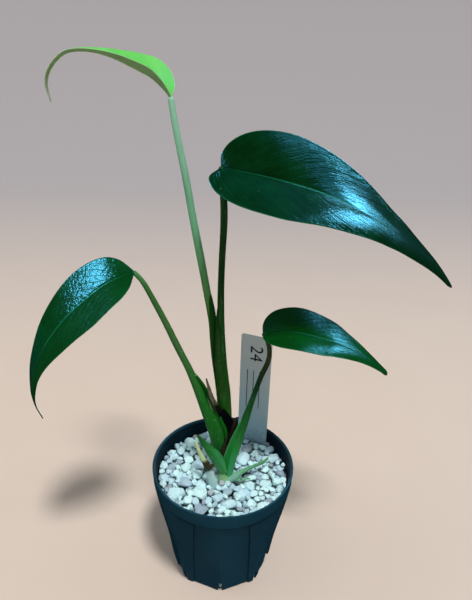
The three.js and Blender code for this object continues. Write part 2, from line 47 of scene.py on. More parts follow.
POT_HEIGHT = 84.0
RIM_RADIUS = 45.0
BAND_HEIGHT = 10.0
BAND_LOW_RADIUS = 44.4
BODY_TOP_RADIUS = 43.4
FOOT_CORNER_RADIUS = 32.6
ROUND_FOOT_SHARE = 0.96
CORNER_TOP_SHARE = 1.03
CORNERS = 8
PANEL_STEP = 0.9
PANEL_HALF_ANGLE = {"foot": 36, "top": 22}
WALL = 1.7
RIM_WALL = 1.5
FLOOR = 1.5
SLIT_WIDTH = 3.0
SLIT_HEIGHT = 10.0
SLIT_INNER_RADIUS = 22.0
BAND_FOOT = POT_HEIGHT - BAND_HEIGHT
FINS = [(68, 14, 0.75, 2.5), (-68, 0.3, 0.1, 16)]
FIN_HEIGHT = 1.1
FIN_HALF_WIDTH = 0.5
SIDE_SWELL = 2.0
BAND_TAPER = 0.16

# Driving dimensions of the planting

# A path is a list of places along the middle of a piece, and its radii are spread evenly over its length.
# A blade's half widths are shares of its width at the places in ALONG, near the viewer and on the far side.
# Its slopes and curls are in degrees, from its base to its tip. Its lobes are how far its base reaches back
# on the near and the far side, as shares of its length.

PUMICE_LEVEL = 74.0
LABEL = {
    "width": 20.6, "thick": 0.8, "length": 110, "top": 160, "x": 19.6, "y": 31, "point": 22, "turn": -20,
}
CROWN = {
    "path": [[1.2, -7.2, 64], [1.1, -7.5, 74], [1.4, -7.0, 80], [1.4, -5.4, 87], [1.4, -1.5, 97],
             [1.1, 2, 107], [1, 4, 113]],
    "radii": [4.4, 4.7, 4.3, 3.6, 4.0, 4.0, 3.8],
}
STALKS = {
    "a": {
        "path": [[3.3, -8.2, 80], [5.2, -7.8, 93], [7.1, -7.2, 101], [8.9, -6.8, 108.6],
                 [10.8, -6.3, 116.2], [12.8, -5.7, 124], [16.7, -4.4, 139], [20.7, -3, 153],
                 [24.4, -2, 163], [25, -1.2, 170], [23.6, -0.4, 176], [21.2, 0.2, 180.6]],
        "radii": [2.5, 2.7, 2.9, 2.8, 2.5, 2.2, 1.7, 1.5, 1.5, 1.5, 1.3, 1.1],
    },
    "b": {
        "path": [[-4.4, -0.2, 95], [-5.9, 0.3, 105], [-8.4, 0.8, 116], [-12.0, 1, 128], [-16.1, 0.9, 141],
                 [-20.9, 0.6, 154.6], [-27.4, 0.2, 170.7], [-34.5, 0, 188.3], [-42.8, 0, 207],
                 [-46.2, 0, 213.2], [-49.6, 0.2, 217.2]],
        "radii": [2.4, 3.1, 3.3, 3.0, 2.5, 2.1, 2.0, 1.85, 1.65, 1.5, 1.3],
    },
    "c": {
        "path": [[1.6, 3.8, 116], [0.6, 3.6, 131.7], [-1.1, 3.2, 156], [-2.7, 2.4, 181], [-3.3, 2, 201],
                 [-3.1, 1.5, 222], [-2.4, 1, 246], [-2.9, 0.8, 262], [-4.2, 0.6, 274.6]],
        "radii": [2.4, 2.5, 2.2, 2.0, 1.9, 1.75, 1.8, 1.85, 1.5],
    },
    "d": {
        "path": [[-0.6, 7.2, 113.6], [-2.4, 7.2, 135], [-5.3, 7, 157], [-6.9, 6.9, 172], [-8.2, 6.8, 185],
                 [-10.3, 6.6, 198.5], [-13.8, 6.5, 219], [-18.2, 6.8, 244], [-22.5, 7.1, 270],
                 [-26.3, 7.5, 290], [-28.7, 8, 305.2]],
        "radii": [2, 2.1, 2.1, 2.1, 2.1, 2.1, 2.05, 1.95, 1.85, 1.75, 1.5],
    },
}
ALONG = [0, 0.01, 0.04, 0.1, 0.19, 0.3, 0.48, 0.66, 0.82, 0.93, 0.98, 1]
LOBE_SHARE = [0, 1, 1, 0.6, 0.2, 0, 0, 0, 0, 0, 0, 0]
VEINS = {"slant": 0.34, "sweep": 1.15, "count": 13.0}
BLADES = {
    "a": {
        "midrib": [[20.7, 0, 180.3], [38, -3, 184], [55, -6, 182], [63, -7.5, 180], [72.5, -9, 176],
                   [81, -10.5, 171], [91, -12, 163.5]],
        "width": 32,
        "near_half": [0.006, 0.13, 0.265, 0.39, 0.475, 0.49, 0.42, 0.275, 0.148, 0.080, 0.068, 0.035],
        "far_half": [0.006, 0.19, 0.335, 0.445, 0.495, 0.5, 0.42, 0.27, 0.155, 0.095, 0.072, 0.035],
        "near": [-5, 11, 19, 23], "far": [34, 33, 23, 18],
        "near_curl": [20, 20, 70, 30], "far_curl": [-25, -50, 90, 40], "lobes": [0.0, 0.01],
    },
    "b": {
        "midrib": [[-49.5, 0, 218], [-63, -4, 213], [-76, -7, 203.5], [-87.5, -10, 192.5],
                   [-98.5, -13, 178], [-106, -14, 162], [-109, -14, 147], [-108.5, -14, 138],
                   [-105.5, -14, 129]],
        "width": 40,
        "near_half": [0.006, 0.13, 0.275, 0.405, 0.485, 0.5, 0.405, 0.24, 0.13, 0.075, 0.062, 0.028],
        "far_half": [0.006, 0.14, 0.28, 0.405, 0.485, 0.5, 0.415, 0.265, 0.145, 0.098, 0.072, 0.03],
        "near": [20, 30, 33, 40], "far": [36, 40, 27, 27],
        "near_curl": [0, 0, 10, 20], "far_curl": [-10, 0, 0, 0], "lobes": [-0.01, -0.01],
    },
    "c": {
        "midrib": [[-4.5, 0, 275.2], [16, -2, 272], [35.5, -3, 267.5], [51, -5, 263], [68, -8, 256],
                   [80.5, -10, 249], [91, -12, 242.3], [105, -13, 231], [115.3, -14, 220]],
        "width": 52,
        "near_half": [0.006, 0.14, 0.285, 0.41, 0.485, 0.5, 0.415, 0.265, 0.142, 0.07, 0.04, 0.015],
        "far_half": [0.006, 0.14, 0.285, 0.412, 0.49, 0.503, 0.418, 0.27, 0.158, 0.095, 0.06, 0.025],
        "near": [34, 17, 20, 40], "far": [61, 45, 22, 15],
        "near_curl": [20, 20, 85, 20], "far_curl": [-30, -60, 120, 20], "lobes": [0.042, 0.016],
    },
    "d": {
        "midrib": [[-28.6, 8, 306], [-32, 10.5, 309.3], [-38, 12, 314.2], [-45, 13, 317.4],
                   [-52.5, 14.5, 320.5], [-60, 16, 322.9], [-67, 17, 324.1], [-74, 18, 324.0],
                   [-79.7, 19.5, 322.5], [-85.1, 21, 318.4], [-89.1, 22, 313.1], [-90.9, 23.5, 307],
                   [-90.8, 26, 299.3]],
        "width": 26,
        "near_half": [0.006, 0.10, 0.2, 0.31, 0.44, 0.35, 0.145, 0.105, 0.08, 0.05, 0.032, 0.012],
        "far_half": [0.006, 0.13, 0.265, 0.40, 0.47, 0.41, 0.165, 0.075, 0.07, 0.05, 0.032, 0.012],
        "near": [-26, -22, -30, -30], "far": [50, 20, 16, 55],
        "near_curl": [0, 0, 0, 0], "far_curl": [0, 0, 0, 0], "lobes": [0, -0.02],
    },
}


# Curves and values

def catmull(points, per_span):
    """Points of the smooth curve that passes through the given ones."""
    p = np.array(points, float)
    if p.ndim == 1:
        p = p[:, None]
    p = np.vstack([2 * p[0] - p[1], p, 2 * p[-1] - p[-2]])
    t = np.linspace(0, 1, per_span, endpoint=False)[:, None]
    spans = []
    for a, b, c, d in zip(p[:-3], p[1:-2], p[2:-1], p[3:]):
        rise = 2 * a - 5 * b + 4 * c - d
        twist = 3 * b - 3 * c + d - a
        spans.append(0.5 * (2 * b + (c - a) * t + rise * t**2 + twist * t**3))
    return np.vstack([*spans, p[-2:-1]])


def swell(values, share):
    """A smooth value read from an evenly spaced list, at a share from 0 to 1."""
    fine = catmull(values, 20)[:, 0]
    return np.interp(np.clip(share, 0, 1), np.linspace(0, 1, len(fine)), fine)


def ease(four, share):
    """Cubic Bezier value of four numbers, at a share from 0 to 1."""
    a, b, c, d = four
    s = np.clip(share, 0, 1)
    r = 1 - s
    return a * r**3 + 3 * b * r * r * s + 3 * c * r * s * s + d * s**3


def unit(vectors):
    """Vectors of length one."""
    return vectors / np.maximum(np.linalg.norm(vectors, axis=-1, keepdims=True), 1e-12)


def smooth_step(low, high, value):
    """A soft step from 0 at low to 1 at high."""
    t = np.clip((value - low) / (high - low), 0, 1)
    return t * t * (3 - 2 * t)


def rough(points, pitch, seed):
    """Smooth noise from -1 to 1 at points, with bumps about pitch apart."""
    flat = np.asarray(points, float).reshape(-1, 3) / pitch + seed * 7.31
    found = [noise.noise(Vector(p)) for p in flat]
    return np.array(found).reshape(np.shape(points)[:-1])


class Line:
    """A smooth curve through points, read by its share of length."""

    def __init__(self, points):
        self.points = catmull(points, 30)
        steps = np.linalg.norm(np.diff(self.points, axis=0), axis=1)
        self.reached = np.concatenate([[0], np.cumsum(steps)])
        self.length = self.reached[-1]
        self.slopes = unit(np.gradient(self.points, self.reached, axis=0))

    def read(self, table, share):
        """Rows of a table that follows the curve, at shares of its length."""
        place = np.clip(share, 0, 1) * self.length
        return np.stack([np.interp(place, self.reached, column) for column in table.T], -1)

    def at(self, share):
        return self.read(self.points, share)

    def heading(self, share):
        return unit(self.read(self.slopes, share))

    def frame(self, share):
        """The curve's place, heading and two side directions, the first of them close to the X axis."""
        ahead = self.heading(share)
        side = np.array([1.0, 0.0, 0.0])
        wide = unit(side - ahead * (ahead @ side)[..., None])
        return self.at(share), ahead, wide, np.cross(wide, ahead)


# Meshes

def place_object(name, data, *materials):
    """A new object in the scene, with its materials."""
    made = bpy.data.objects.new(name, data)
    bpy.context.scene.collection.objects.link(made)
    for material in materials:
        made.data.materials.append(material)
    return made


def smooth(mesh, sharp):
    """Shades a mesh smooth, but for edges that turn by more than sharp degrees."""
    mesh.shade_smooth()
    mesh.set_sharp_from_angle(angle=math.radians(sharp))


def set_point_values(mesh, key, values):
    """Gives each point of a mesh a value under a name that its material reads."""
    layer = mesh.attributes.new(key, "FLOAT", "POINT")
    layer.data.foreach_set("value", np.asarray(values, np.float32))


class Skin:
    """Faces collected for one piece, each corner with its place along and across the piece."""

    def __init__(self):
        self.points = []
        self.faces = []
        self.places = []
        self.kinds = []
        self.count = 0

    def add_points(self, points):
        first = self.count
        self.points.append(points.reshape(-1, 3))
        self.count += len(self.points[-1])
        return first

    def add_grid(self, grid, along, across, wrap=False, kind=0):
        """
        A sheet of quads. along has one value a row, or one a point, and across has one value a column, with
        one more if the sheet wraps round.
        """
        rows, columns = grid.shape[:2]
        if np.ndim(along) == 1:
            along = np.repeat(np.asarray(along)[:, None], columns, axis=1)
        first = self.add_points(grid)
        last = columns if wrap else columns - 1
        for i in range(rows - 1):
            for j in range(last):
                k = (j + 1) % columns
                ring = ((i, j, j), (i, k, j + 1), (i + 1, k, j + 1), (i + 1, j, j))
                self.faces.append([first + r * columns + c for r, c, _ in ring])
                self.places.extend((along[r, c], across[w]) for r, c, w in ring)
                self.kinds.append(kind)
        return first

    def add_cap(self, indices, along, kind=0):
        """One face that closes an open ring."""
        self.faces.append(list(indices))
        self.places.extend((along, 0.5) for _ in indices)
        self.kinds.append(kind)

    def add_tube(self, grid, along, kind=0):
        """A closed tube of rings with its two ends capped."""
        rows, columns = grid.shape[:2]
        across = np.linspace(0, 1, columns + 1)
        first = self.add_grid(grid, along, across, wrap=True, kind=kind)
        self.add_cap(range(first + columns - 1, first - 1, -1), along[0], kind)
        top = first + (rows - 1) * columns
        self.add_cap(range(top, top + columns), along[-1], kind)

    def make(self, name, *materials, weld=0.0, sharp=50):
        """The finished object, its faces turned outwards."""
        mesh = bpy.data.meshes.new(name)
        mesh.from_pydata((np.vstack(self.points) * MM).tolist(), [], self.faces)
        layer = mesh.uv_layers.new(name="place")
        layer.uv.foreach_set("vector", np.array(self.places, np.float32).ravel())
        mesh.polygons.foreach_set("material_index", self.kinds)
        work = bmesh.new()
        work.from_mesh(mesh)
        if weld:
            bmesh.ops.remove_doubles(work, verts=work.verts, dist=weld * MM)
        bmesh.ops.recalc_face_normals(work, faces=work.faces)
        work.to_mesh(mesh)
        work.free()
        smooth(mesh, sharp)
        return place_object(name, mesh, *materials)


def settle(piece, slot, *nodes):
    """Makes a piece part of the model: it rides on the one body and stands for its nodes."""
    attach(piece, "root")
    if nodes:
        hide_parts(*nodes)
    return piece


def apply_modifiers(piece):
    """Bakes a piece's modifiers into its mesh."""
    graph = bpy.context.evaluated_depsgraph_get()
    graph.update()
    made = bpy.data.meshes.new_from_object(piece.evaluated_get(graph))
    piece.modifiers.clear()
    piece.data = made


# Materials

class Wire:
    """A socket that expressions such as 1 - mask * 0.5 can work on."""

    def __init__(self, board, socket):
        self.board = board
        self.socket = socket

    def math(self, operation, *values, clamp=False):
        settings = {"operation": operation, "use_clamp": clamp}
        return self.board.node("Math", settings, dict(enumerate(values)))

    def __add__(self, other):
        return self.math("ADD", self, other)

    __radd__ = __add__

    def __sub__(self, other):
        return self.math("SUBTRACT", self, other)

    def __rsub__(self, other):
        return self.math("SUBTRACT", other, self)

    def __mul__(self, other):
        return self.math("MULTIPLY", self, other)

    __rmul__ = __mul__

    def __truediv__(self, other):
        return self.math("DIVIDE", self, other)

    def __pow__(self, other):
        return self.math("POWER", self, other)

    def size(self):
        """The value without its sign."""
        return self.math("ABSOLUTE", self)

    def part(self):
        """What is left past the whole number below."""
        return self.math("FRACT", self)

    def held(self):
        """The value kept from 0 to 1."""
        return self.math("ADD", self, 0.0, clamp=True)

    def step(self, low, high):
        """A soft mask, 0 at low and 1 at high."""
        spread = {0: self, 1: low, 2: high, 3: 0.0, 4: 1.0}
        return self.board.node("MapRange", {"interpolation_type": "SMOOTHSTEP"}, spread)


class Board:
    """A tree of shader nodes that wires are laid on."""

    def __init__(self, tree):
        self.tree = tree

    def join(self, socket, value):
        if isinstance(value, Wire):
            self.tree.links.new(value.socket, socket)
        else:
            socket.default_value = value

    def node(self, kind, settings=None, values=None, out=0):
        """A node of a type, with its settings made first, then the values or links of its sockets."""
        made = self.tree.nodes.new("ShaderNode" + kind)
        for key, value in (settings or {}).items():
            if key == "stops":
                self.set_stops(made.color_ramp, value)
            else:
                setattr(made, key, value)
        for key, value in (values or {}).items():
            self.join(made.inputs[key], value)
        return Wire(self, made.outputs[out])

    def set_stops(self, ramp, stops):
        """Fills a colour ramp with (place, colour) pairs."""
        while len(ramp.elements) < len(stops):
            ramp.elements.new(0.5)
        for element, (place, colour) in zip(ramp.elements, stops):
            element.position = place
            element.color = (*colour, 1)

    def axis(self, where, number):
        """One of the three coordinates of a place."""
        return self.node("SeparateXYZ", None, {0: where}, out=number)

    def mix(self, first, second, share):
        """A colour between two colours."""
        first, second = (c if isinstance(c, Wire) else (*c, 1) for c in (first, second))
        return self.node("Mix", {"data_type": "RGBA"}, {0: share, 6: first, 7: second}, out=2)


class Paint(Board):
    """A material being made: its nodes, and the shader that they end in."""

    def __init__(self, name, **constants):
        self.material = bpy.data.materials.new(name)
        self.material.use_nodes = True
        super().__init__(self.material.node_tree)
        self.shader = self.tree.nodes["Principled BSDF"]
        for key, value in constants.items():
            self.setting(key).default_value = value

    def setting(self, key):
        """The shader's input that a name such as base_color stands for."""
        return self.shader.inputs[key.replace("_", " ").title().replace("Ior", "IOR")]

    def place(self):
        """Coordinates in millimetres in the object's own frame."""
        own = self.node("TexCoord", out=3)
        return self.node("VectorMath", {"operation": "SCALE"}, {0: own, "Scale": 1 / MM})

    def stretched(self, where, factors):
        """Coordinates multiplied along each axis."""
        return self.node("VectorMath", {"operation": "MULTIPLY"}, {0: where, 1: factors})

    def along_across(self):
        """How far along and across the piece a point lies, each from 0 to 1."""
        mapped = self.node("UVMap", {"uv_map": "place"})
        return self.axis(mapped, 0), self.axis(mapped, 1)

    def noise(self, where, pitch, detail=3.0, roughness=0.55, twist=0.0):
        """Cloudy noise from 0 to 1 whose patches are about pitch millimetres apart."""
        values = {"Vector": where, "Scale": 1 / pitch, "Detail": detail, "Roughness": roughness}
        values["Distortion"] = twist
        return self.node("TexNoise", None, values)

    def cells(self, where, pitch):
        """Distance from the nearest of scattered points about pitch millimetres apart."""
        return self.node("TexVoronoi", None, {"Vector": where, "Scale": 1 / pitch})

    def veins(self, where, along, reach):
        """A count that goes up by one from each side vein to the next, and the nearness to a vein."""
        wander = self.noise(where, 9, 2) - 0.5
        course = (along - VEINS["slant"] * reach ** VEINS["sweep"]) * VEINS["count"] + wander * 0.22
        return course, (course.part() - 0.5).size() * 2

    def ramp(self, value, stops):
        """A colour read off a list of (place, colour) pairs."""
        return self.node("ValToRGB", {"stops": stops}, {0: value})

    def bump(self, height, depth, under=None):
        """Relief whose height of 1 stands depth millimetres proud, over the relief under it."""
        values = {"Height": height, "Distance": depth * MM, "Strength": 1.0}
        if under is not None:
            values["Normal"] = under
        return self.node("Bump", None, values)

    def calm(self, share, base, relief):
        """Takes the gloss off where share is 1."""
        values = {"Base Color": base, "Roughness": 0.6, "Specular IOR Level": 0.06, "Normal": relief}
        matt = self.node("BsdfPrincipled", None, values)
        mixed = self.node("MixShader", None, {0: share, 1: Wire(self, self.shader.outputs[0]), 2: matt})
        self.join(self.tree.nodes["Material Output"].inputs["Surface"], mixed)

    def finish(self, **wires):
        """Feeds the shader's inputs and returns the material."""
        for key, value in wires.items():
            self.join(self.setting(key), value)
        return self.material


def pot_plastic():
    """Dark green moulded plastic, with pumice dust, faint flow marks and scuffs, painted light on its band,
    a painted shadow under it, and a matt inner wall darkened by painted shade.
    """
    paint = Paint("pot_plastic", specular_ior_level=0.4)
    where = paint.place()
    cloud = paint.noise(where, 22, 4)
    fine = paint.noise(where, 0.5, 2)
    flow = paint.noise(paint.stretched(where, (1, 1, 0.12)), 2.4, 3)
    dust = paint.noise(where, 6, 6, 0.7).step(0.5, 0.78)
    height = paint.axis(where, 2)
    dusty = (dust * (0.04 + 0.02 * height.step(66, POT_HEIGHT))).held()
    scuff = paint.noise(paint.stretched(where, (1, 1, 0.3)), 1.3, 4, 0.7, 0.6).step(0.66, 0.74)
    base = paint.mix((0.004, 0.032, 0.054), (0.009, 0.050, 0.082), cloud)
    # Painted light: the band and rim are coloured lighter, as they catch more light than the wall below.
    base = paint.mix(base, (0.002, 0.045, 0.075), height.step(73.9, 74.4) * 0.7)
    # Painted shadow: a dark strip on the wall just under the band, where its overhang throws shade.
    shade = height.step(69, 73.8) * (1 - height.step(73.9, 74.2))
    base = paint.mix(base, (0.0, 0.008, 0.014), shade * 0.55)
    base = paint.mix(base, (0.16, 0.22, 0.23), dusty)
    base = paint.mix(base, (0.05, 0.09, 0.095), scuff * 0.25)
    flat = paint.stretched(where, (1, 1, 0))
    from_axis = paint.node("VectorMath", {"operation": "LENGTH"}, {0: flat}, out=1)
    # Painted shade: the inner wall above the pumice is coloured near black, as it lies in the shade of the
    # rim. The calm shader only takes its gloss off.
    inside = (1 - from_axis.step(43.2, 43.6)) * height.step(70, 74)
    base = paint.mix(base, (0.0008, 0.007, 0.012), inside * 0.85)
    relief = paint.bump(fine + flow * 0.8, 0.03)
    paint.calm((inside * 0.9).held(), base, relief)
    return paint.finish(base_color=base, roughness=0.34 + 0.14 * cloud + 0.25 * dusty, normal=relief)


def pumice_stone(name, shade):
    """White volcanic stone with open pores, its lower side darkened by painted shade. Each stone has its
    own tone, and shade scales all its colours.
    """
    paint = Paint(name, specular_ior_level=0.25)
    where = paint.place()
    tone = paint.node("Attribute", {"attribute_name": "tone"}, None, out=2)
    cloud = paint.noise(where, 2.2, 4, 0.6)
    grit = paint.noise(where, 0.45, 3, 0.7)
    pores = 1 - paint.cells(where, 1.0).step(0.10, 0.30)
    pores = pores * paint.noise(where, 1.8, 2).step(0.5, 0.66)
    stops = [(0.0, (0.70, 1.0, 1.0)), (0.35, (0.66, 0.97, 1.0)), (0.62, (0.58, 0.84, 0.94)),
             (0.80, (0.42, 0.60, 0.70)), (0.93, (0.32, 0.42, 0.50)), (1.0, (0.44, 0.50, 0.54))]
    base = paint.ramp(tone, [(p, tuple(shade * v for v in c)) for p, c in stops])
    base = paint.mix(base, (0.36 * shade, 0.50 * shade, 0.56 * shade), cloud.step(0.52, 0.8) * 0.30)
    base = paint.mix(base, (0.12 * shade, 0.20 * shade, 0.24 * shade), (pores * 0.7).held())
    # Painted shade: each stone is coloured darker towards its lower side, read from the rise of its points.
    rise = paint.node("Attribute", {"attribute_name": "rise"}, None, out=2)
    base = paint.mix(base, (0.02, 0.045, 0.055), (1 - rise.step(-0.35, 0.40)) * 0.85)
    relief = paint.bump(paint.noise(where, 1.3, 5, 0.7) + grit * 0.4 - pores * 1.4, 0.32)
    return paint.finish(base_color=base, roughness=0.86 + 0.1 * grit, normal=relief)


def leaf_face(name, dark, light, rib, gloss):
    """
    The waxy upper face of a blade: green, with a pale midrib and side veins that sweep to the tip.
    In gloss, shine and rough are the strength and roughness of the sharp gloss, and haze is the strength
    of a soft one. ripple, streak and grain are depths of relief in millimetres, and streaks is how many
    streaks lie from vein to vein. tip is how brown the tip is, and quiet is where the face shines little;
    its deep is how far painted shade darkens the face there.
    """
    paint = Paint(
        name, coat_weight=gloss["haze"], coat_roughness=0.42, specular_ior_level=gloss["shine"],
        specular_tint=(0.60, 0.90, 1.0, 1))
    where = paint.place()
    along, across = paint.along_across()
    reach = ((across - 0.5) * 2).size()
    course, to_vein = paint.veins(where, along, reach)
    vein = to_vein.step(0.88, 1.0) * reach.step(0.02, 0.14) * (1 - reach.step(0.8, 1.0))
    half_rib = 0.055 - 0.025 * along
    on_rib = (1 - (reach / half_rib)).held() * (1 - along.step(0.45, 0.8) * 0.8)
    margin = reach.step(0.975, 0.995)
    patches = paint.noise(where, 13, 3, 0.55)
    base = paint.mix(dark, light, patches.step(0.3, 0.75))
    base = paint.mix(base, rib, (vein * 0.10).held())
    base = paint.mix(base, rib, (on_rib * 1.3).held() * 0.6)
    base = paint.mix(base, rib, margin * 0.6)
    base = paint.mix(base, (0.008, 0.020, 0.002), along.step(0.965, 1.0) * gloss["tip"])
    matt_and_painted_shade = None
    if "quiet" in gloss:
        matt_and_painted_shade = quiet_places(along, across, gloss["quiet"])
        # Painted shade: the quiet places are coloured towards near black, as well as made matt below.
        base = paint.mix(base, (0.0002, 0.014, 0.0008), matt_and_painted_shade * gloss["quiet"]["deep"])
    speck = 1 - paint.cells(where, 6.5).step(0.03, 0.05)
    base = paint.mix(base, (0.20, 0.40, 0.36), speck * 0.3)
    side = across.step(0.49, 0.51)
    stretch = paint.node("CombineXYZ", None, {0: course * gloss["streaks"], 1: reach * 5, 2: side * 9})
    streak = paint.noise(stretch, 1, 3.0, 0.6)
    relief = paint.bump(paint.noise(where, 3.4, 3, 0.55), gloss["ripple"])
    relief = paint.bump(streak, gloss["streak"], relief)
    relief = paint.bump(paint.noise(where, 2.2, 2, 0.6), gloss["grain"], relief)
    relief = paint.bump(vein * -1.0, 0.05, relief)
    shine = gloss["rough"] + 0.06 * patches + 0.14 * speck + 0.10 * on_rib
    if matt_and_painted_shade is not None:
        paint.calm(matt_and_painted_shade, base, relief)
    return paint.finish(base_color=base, roughness=shine, normal=relief)


def quiet_places(along, across, quiet):
    """A mask of where a blade shines little and takes painted shade: a strip that starts some way up, the
    tip and the foot.
    """
    low, high = quiet["strip"]
    strip = across.step(low, low + 0.08) * (1 - across.step(high, high + 0.12))
    strip = strip * along.step(*quiet["start"])
    ends = along.step(*quiet["tip"])
    if "foot" in quiet:
        ends = 1 - along.step(*quiet["foot"]) + ends
    return (strip * quiet["share"] + ends * 0.9).held()


def leaf_back(name, dark, light, rib, pale_tip=0.0):
    """The matt lower face of a blade, paler, with the veins standing proud."""
    paint = Paint(name, specular_ior_level=0.35)
    where = paint.place()
    along, across = paint.along_across()
    reach = ((across - 0.5) * 2).size()
    _, to_vein = paint.veins(where, along, reach)
    vein = to_vein.step(0.82, 1.0) * (1 - reach.step(0.85, 1.0))
    on_rib = (1 - reach / (0.075 - 0.035 * along)).held()
    base = paint.mix(dark, light, paint.noise(where, 8, 4, 0.6))
    base = paint.mix(base, rib, (vein * 0.35).held())
    base = paint.mix(base, rib, on_rib * 0.8)
    base = paint.mix(base, rib, reach.step(0.93, 0.99) * 0.6)
    base = paint.mix(base, (0.62, 0.76, 0.66), along.step(0.82, 0.97) * pale_tip)
    relief = paint.bump(vein + paint.noise(where, 0.7, 3) * 0.4, 0.06)
    return paint.finish(base_color=base, roughness=0.48 + 0.12 * paint.noise(where, 3, 2), normal=relief)


def stalk_skin(name, stops, shine=0.36, blotch=(0.45, 0.6, 0.35)):
    """Smooth skin of a leaf stalk, with fine lines along it and a colour that changes from its foot up."""
    paint = Paint(name, specular_ior_level=0.25)
    where = paint.place()
    along, _ = paint.along_across()
    lines = paint.noise(paint.stretched(where, (1, 1, 0.06)), 0.7, 4, 0.6)
    cloud = paint.noise(paint.stretched(where, (1, 1, 0.3)), 4, 3)
    base = paint.ramp((along + (cloud - 0.5) * 0.05).held(), stops)
    pale = paint.mix(base, (0.40, 0.70, 0.30), 0.14)
    base = paint.mix(base, pale, (lines.step(0.45, 0.75) * 0.5).held())
    deep = paint.mix(base, (0.002, 0.012, 0.002), 0.45)
    base = paint.mix(base, deep, (1 - cloud).step(0.5, 0.8) * 0.5)
    fleck = 1 - paint.cells(paint.stretched(where, (1, 1, 0.5)), 2.3).step(0.05, 0.11)
    base = paint.mix(base, blotch, fleck * 0.3)
    relief = paint.bump(lines + cloud * 0.7, 0.10)
    return paint.finish(base_color=base, roughness=shine + 0.16 * cloud, normal=relief)


def dried_skin(name, stops):
    """Papery dead tissue: brown to black, creased along its length."""
    paint = Paint(name, specular_ior_level=0.2)
    where = paint.place()
    along, _ = paint.along_across()
    crease = paint.noise(paint.stretched(where, (1, 1, 0.10)), 0.6, 5, 0.65)
    cloud = paint.noise(where, 3, 4, 0.6)
    base = paint.ramp((along + (cloud - 0.5) * 0.22).held(), stops)
    base = paint.mix(base, (0.30, 0.26, 0.19), crease.step(0.62, 0.8) * along.step(0.5, 0.7) * 0.3)
    return paint.finish(base_color=base, roughness=0.7 + 0.2 * cloud, normal=paint.bump(crease, 0.35))


def label_plastic():
    """Grey-white plastic strip, a little soiled towards its foot, and darker and bluer towards its foot by
    painted shade.
    """
    paint = Paint("label_plastic", specular_ior_level=0.4)
    where = paint.place()
    height = paint.axis(where, 2)
    cloud = paint.noise(where, 14, 3)
    soil = paint.noise(where, 2.0, 5, 0.7).step(0.45, 0.75) * (1 - height.step(74, 100))
    # Painted shade: the strip is coloured darker and bluer towards its lower end, where it lies in shade.
    base = paint.mix((0.40, 0.60, 0.70), (0.58, 0.67, 0.70), height.step(80, 150))
    base = paint.mix(base, (0.48, 0.62, 0.70), cloud * 0.4)
    base = paint.mix(base, (0.13, 0.14, 0.12), soil * 0.6)
    relief = paint.bump(paint.noise(where, 0.4, 2), 0.02)
    return paint.finish(base_color=base, roughness=0.42 + 0.14 * cloud, normal=relief)


def printed_ink():
    """Black ink that has dried a little unevenly."""
    paint = Paint("printed_ink", specular_ior_level=0.3)
    worn = paint.noise(paint.place(), 0.8, 4, 0.7)
    base = paint.mix((0.010, 0.012, 0.016), (0.06, 0.07, 0.08), worn.step(0.5, 0.8))
    return paint.finish(base_color=base, roughness=0.5 + 0.2 * worn)


# Pot

def compass(turn):
    """The directions outwards and sideways at an angle round the pot."""
    out = np.array([math.sin(turn), -math.cos(turn), 0])
    side = np.array([math.cos(turn), math.sin(turn), 0])
    return out, side


def ring_points(radius, angles, z):
    """Points at radii and angles round the pot's axis, all at one height."""
    return np.stack([radius * np.sin(angles), -radius * np.cos(angles), np.full_like(angles, z)], -1)


def octagon_radius(angle, corner):
    """Radius of an eight-sided outline at an angle, with a corner at angle 0."""
    sector = 2 * math.pi / CORNERS
    return corner * math.cos(sector / 2) / np.cos(angle % sector - sector / 2)


def wall_radius(angle, z):
    """Radius of the pot's wall, round under the band and eight-sided at the foot."""
    t = z / BAND_FOOT
    foot, top = FOOT_CORNER_RADIUS, BODY_TOP_RADIUS
    round_wall = foot * ROUND_FOOT_SHARE + (top - foot * ROUND_FOOT_SHARE) * t
    sided_wall = octagon_radius(angle, foot + (top * CORNER_TOP_SHARE - foot) * t)
    on_side_face = np.sin(4 * angle) ** 2 * np.sin(angle) ** 4
    swollen = SIDE_SWELL * on_side_face * (1 - smooth_step(0.05, 0.6, t))
    return sided_wall + (round_wall - sided_wall) * smooth_step(0.1, 0.9, t) + swollen


def inside_band(z):
    """Radius of the inner face behind the band."""
    return RIM_RADIUS - RIM_WALL - BAND_TAPER * (POT_HEIGHT - z)


def panel_columns(z):
    """Angles round the pot, each with how much of the panel step it stands proud."""
    half = math.radians(np.interp(z, [0, BAND_FOOT], [PANEL_HALF_ANGLE["foot"], PANEL_HALF_ANGLE["top"]]))
    slope = math.radians(0.7)
    sunk = [((half - slope) * s, 0.0) for s in np.linspace(-1, 1, 25)]
    groove = ((-0.55, 0.0), (-0.3, -0.45), (0.25, -0.45), (0.55, 0.5), (0.85, 0.92))
    rise = [(half + slope * s, p) for s, p in groove]
    proud_half = math.pi / 4 - half - slope
    proud = [(math.pi / 4 + proud_half * s, 1.0) for s in np.linspace(-1, 1, 21)]
    fall = [(math.pi / 2 - angle, p) for angle, p in reversed(rise)]
    quarter = np.array(sunk + rise + proud + fall)
    angles = np.concatenate([quarter[:, 0] + k * math.pi / 2 for k in range(4)])
    return angles, np.tile(quarter[:, 1], 4)


def pot_ring(z, kind, offset):
    """One ring of the pot: kind is wall, inside or round, and offset shifts its radius."""
    angles, proud = panel_columns(min(z, BAND_FOOT))
    if kind == "wall":
        radius = wall_radius(angles, z) - PANEL_STEP * (1 - proud) + offset
    elif kind == "inside":
        radius = wall_radius(angles, z) - WALL + offset
    else:
        radius = np.full_like(angles, offset)
    return ring_points(radius, angles, z)


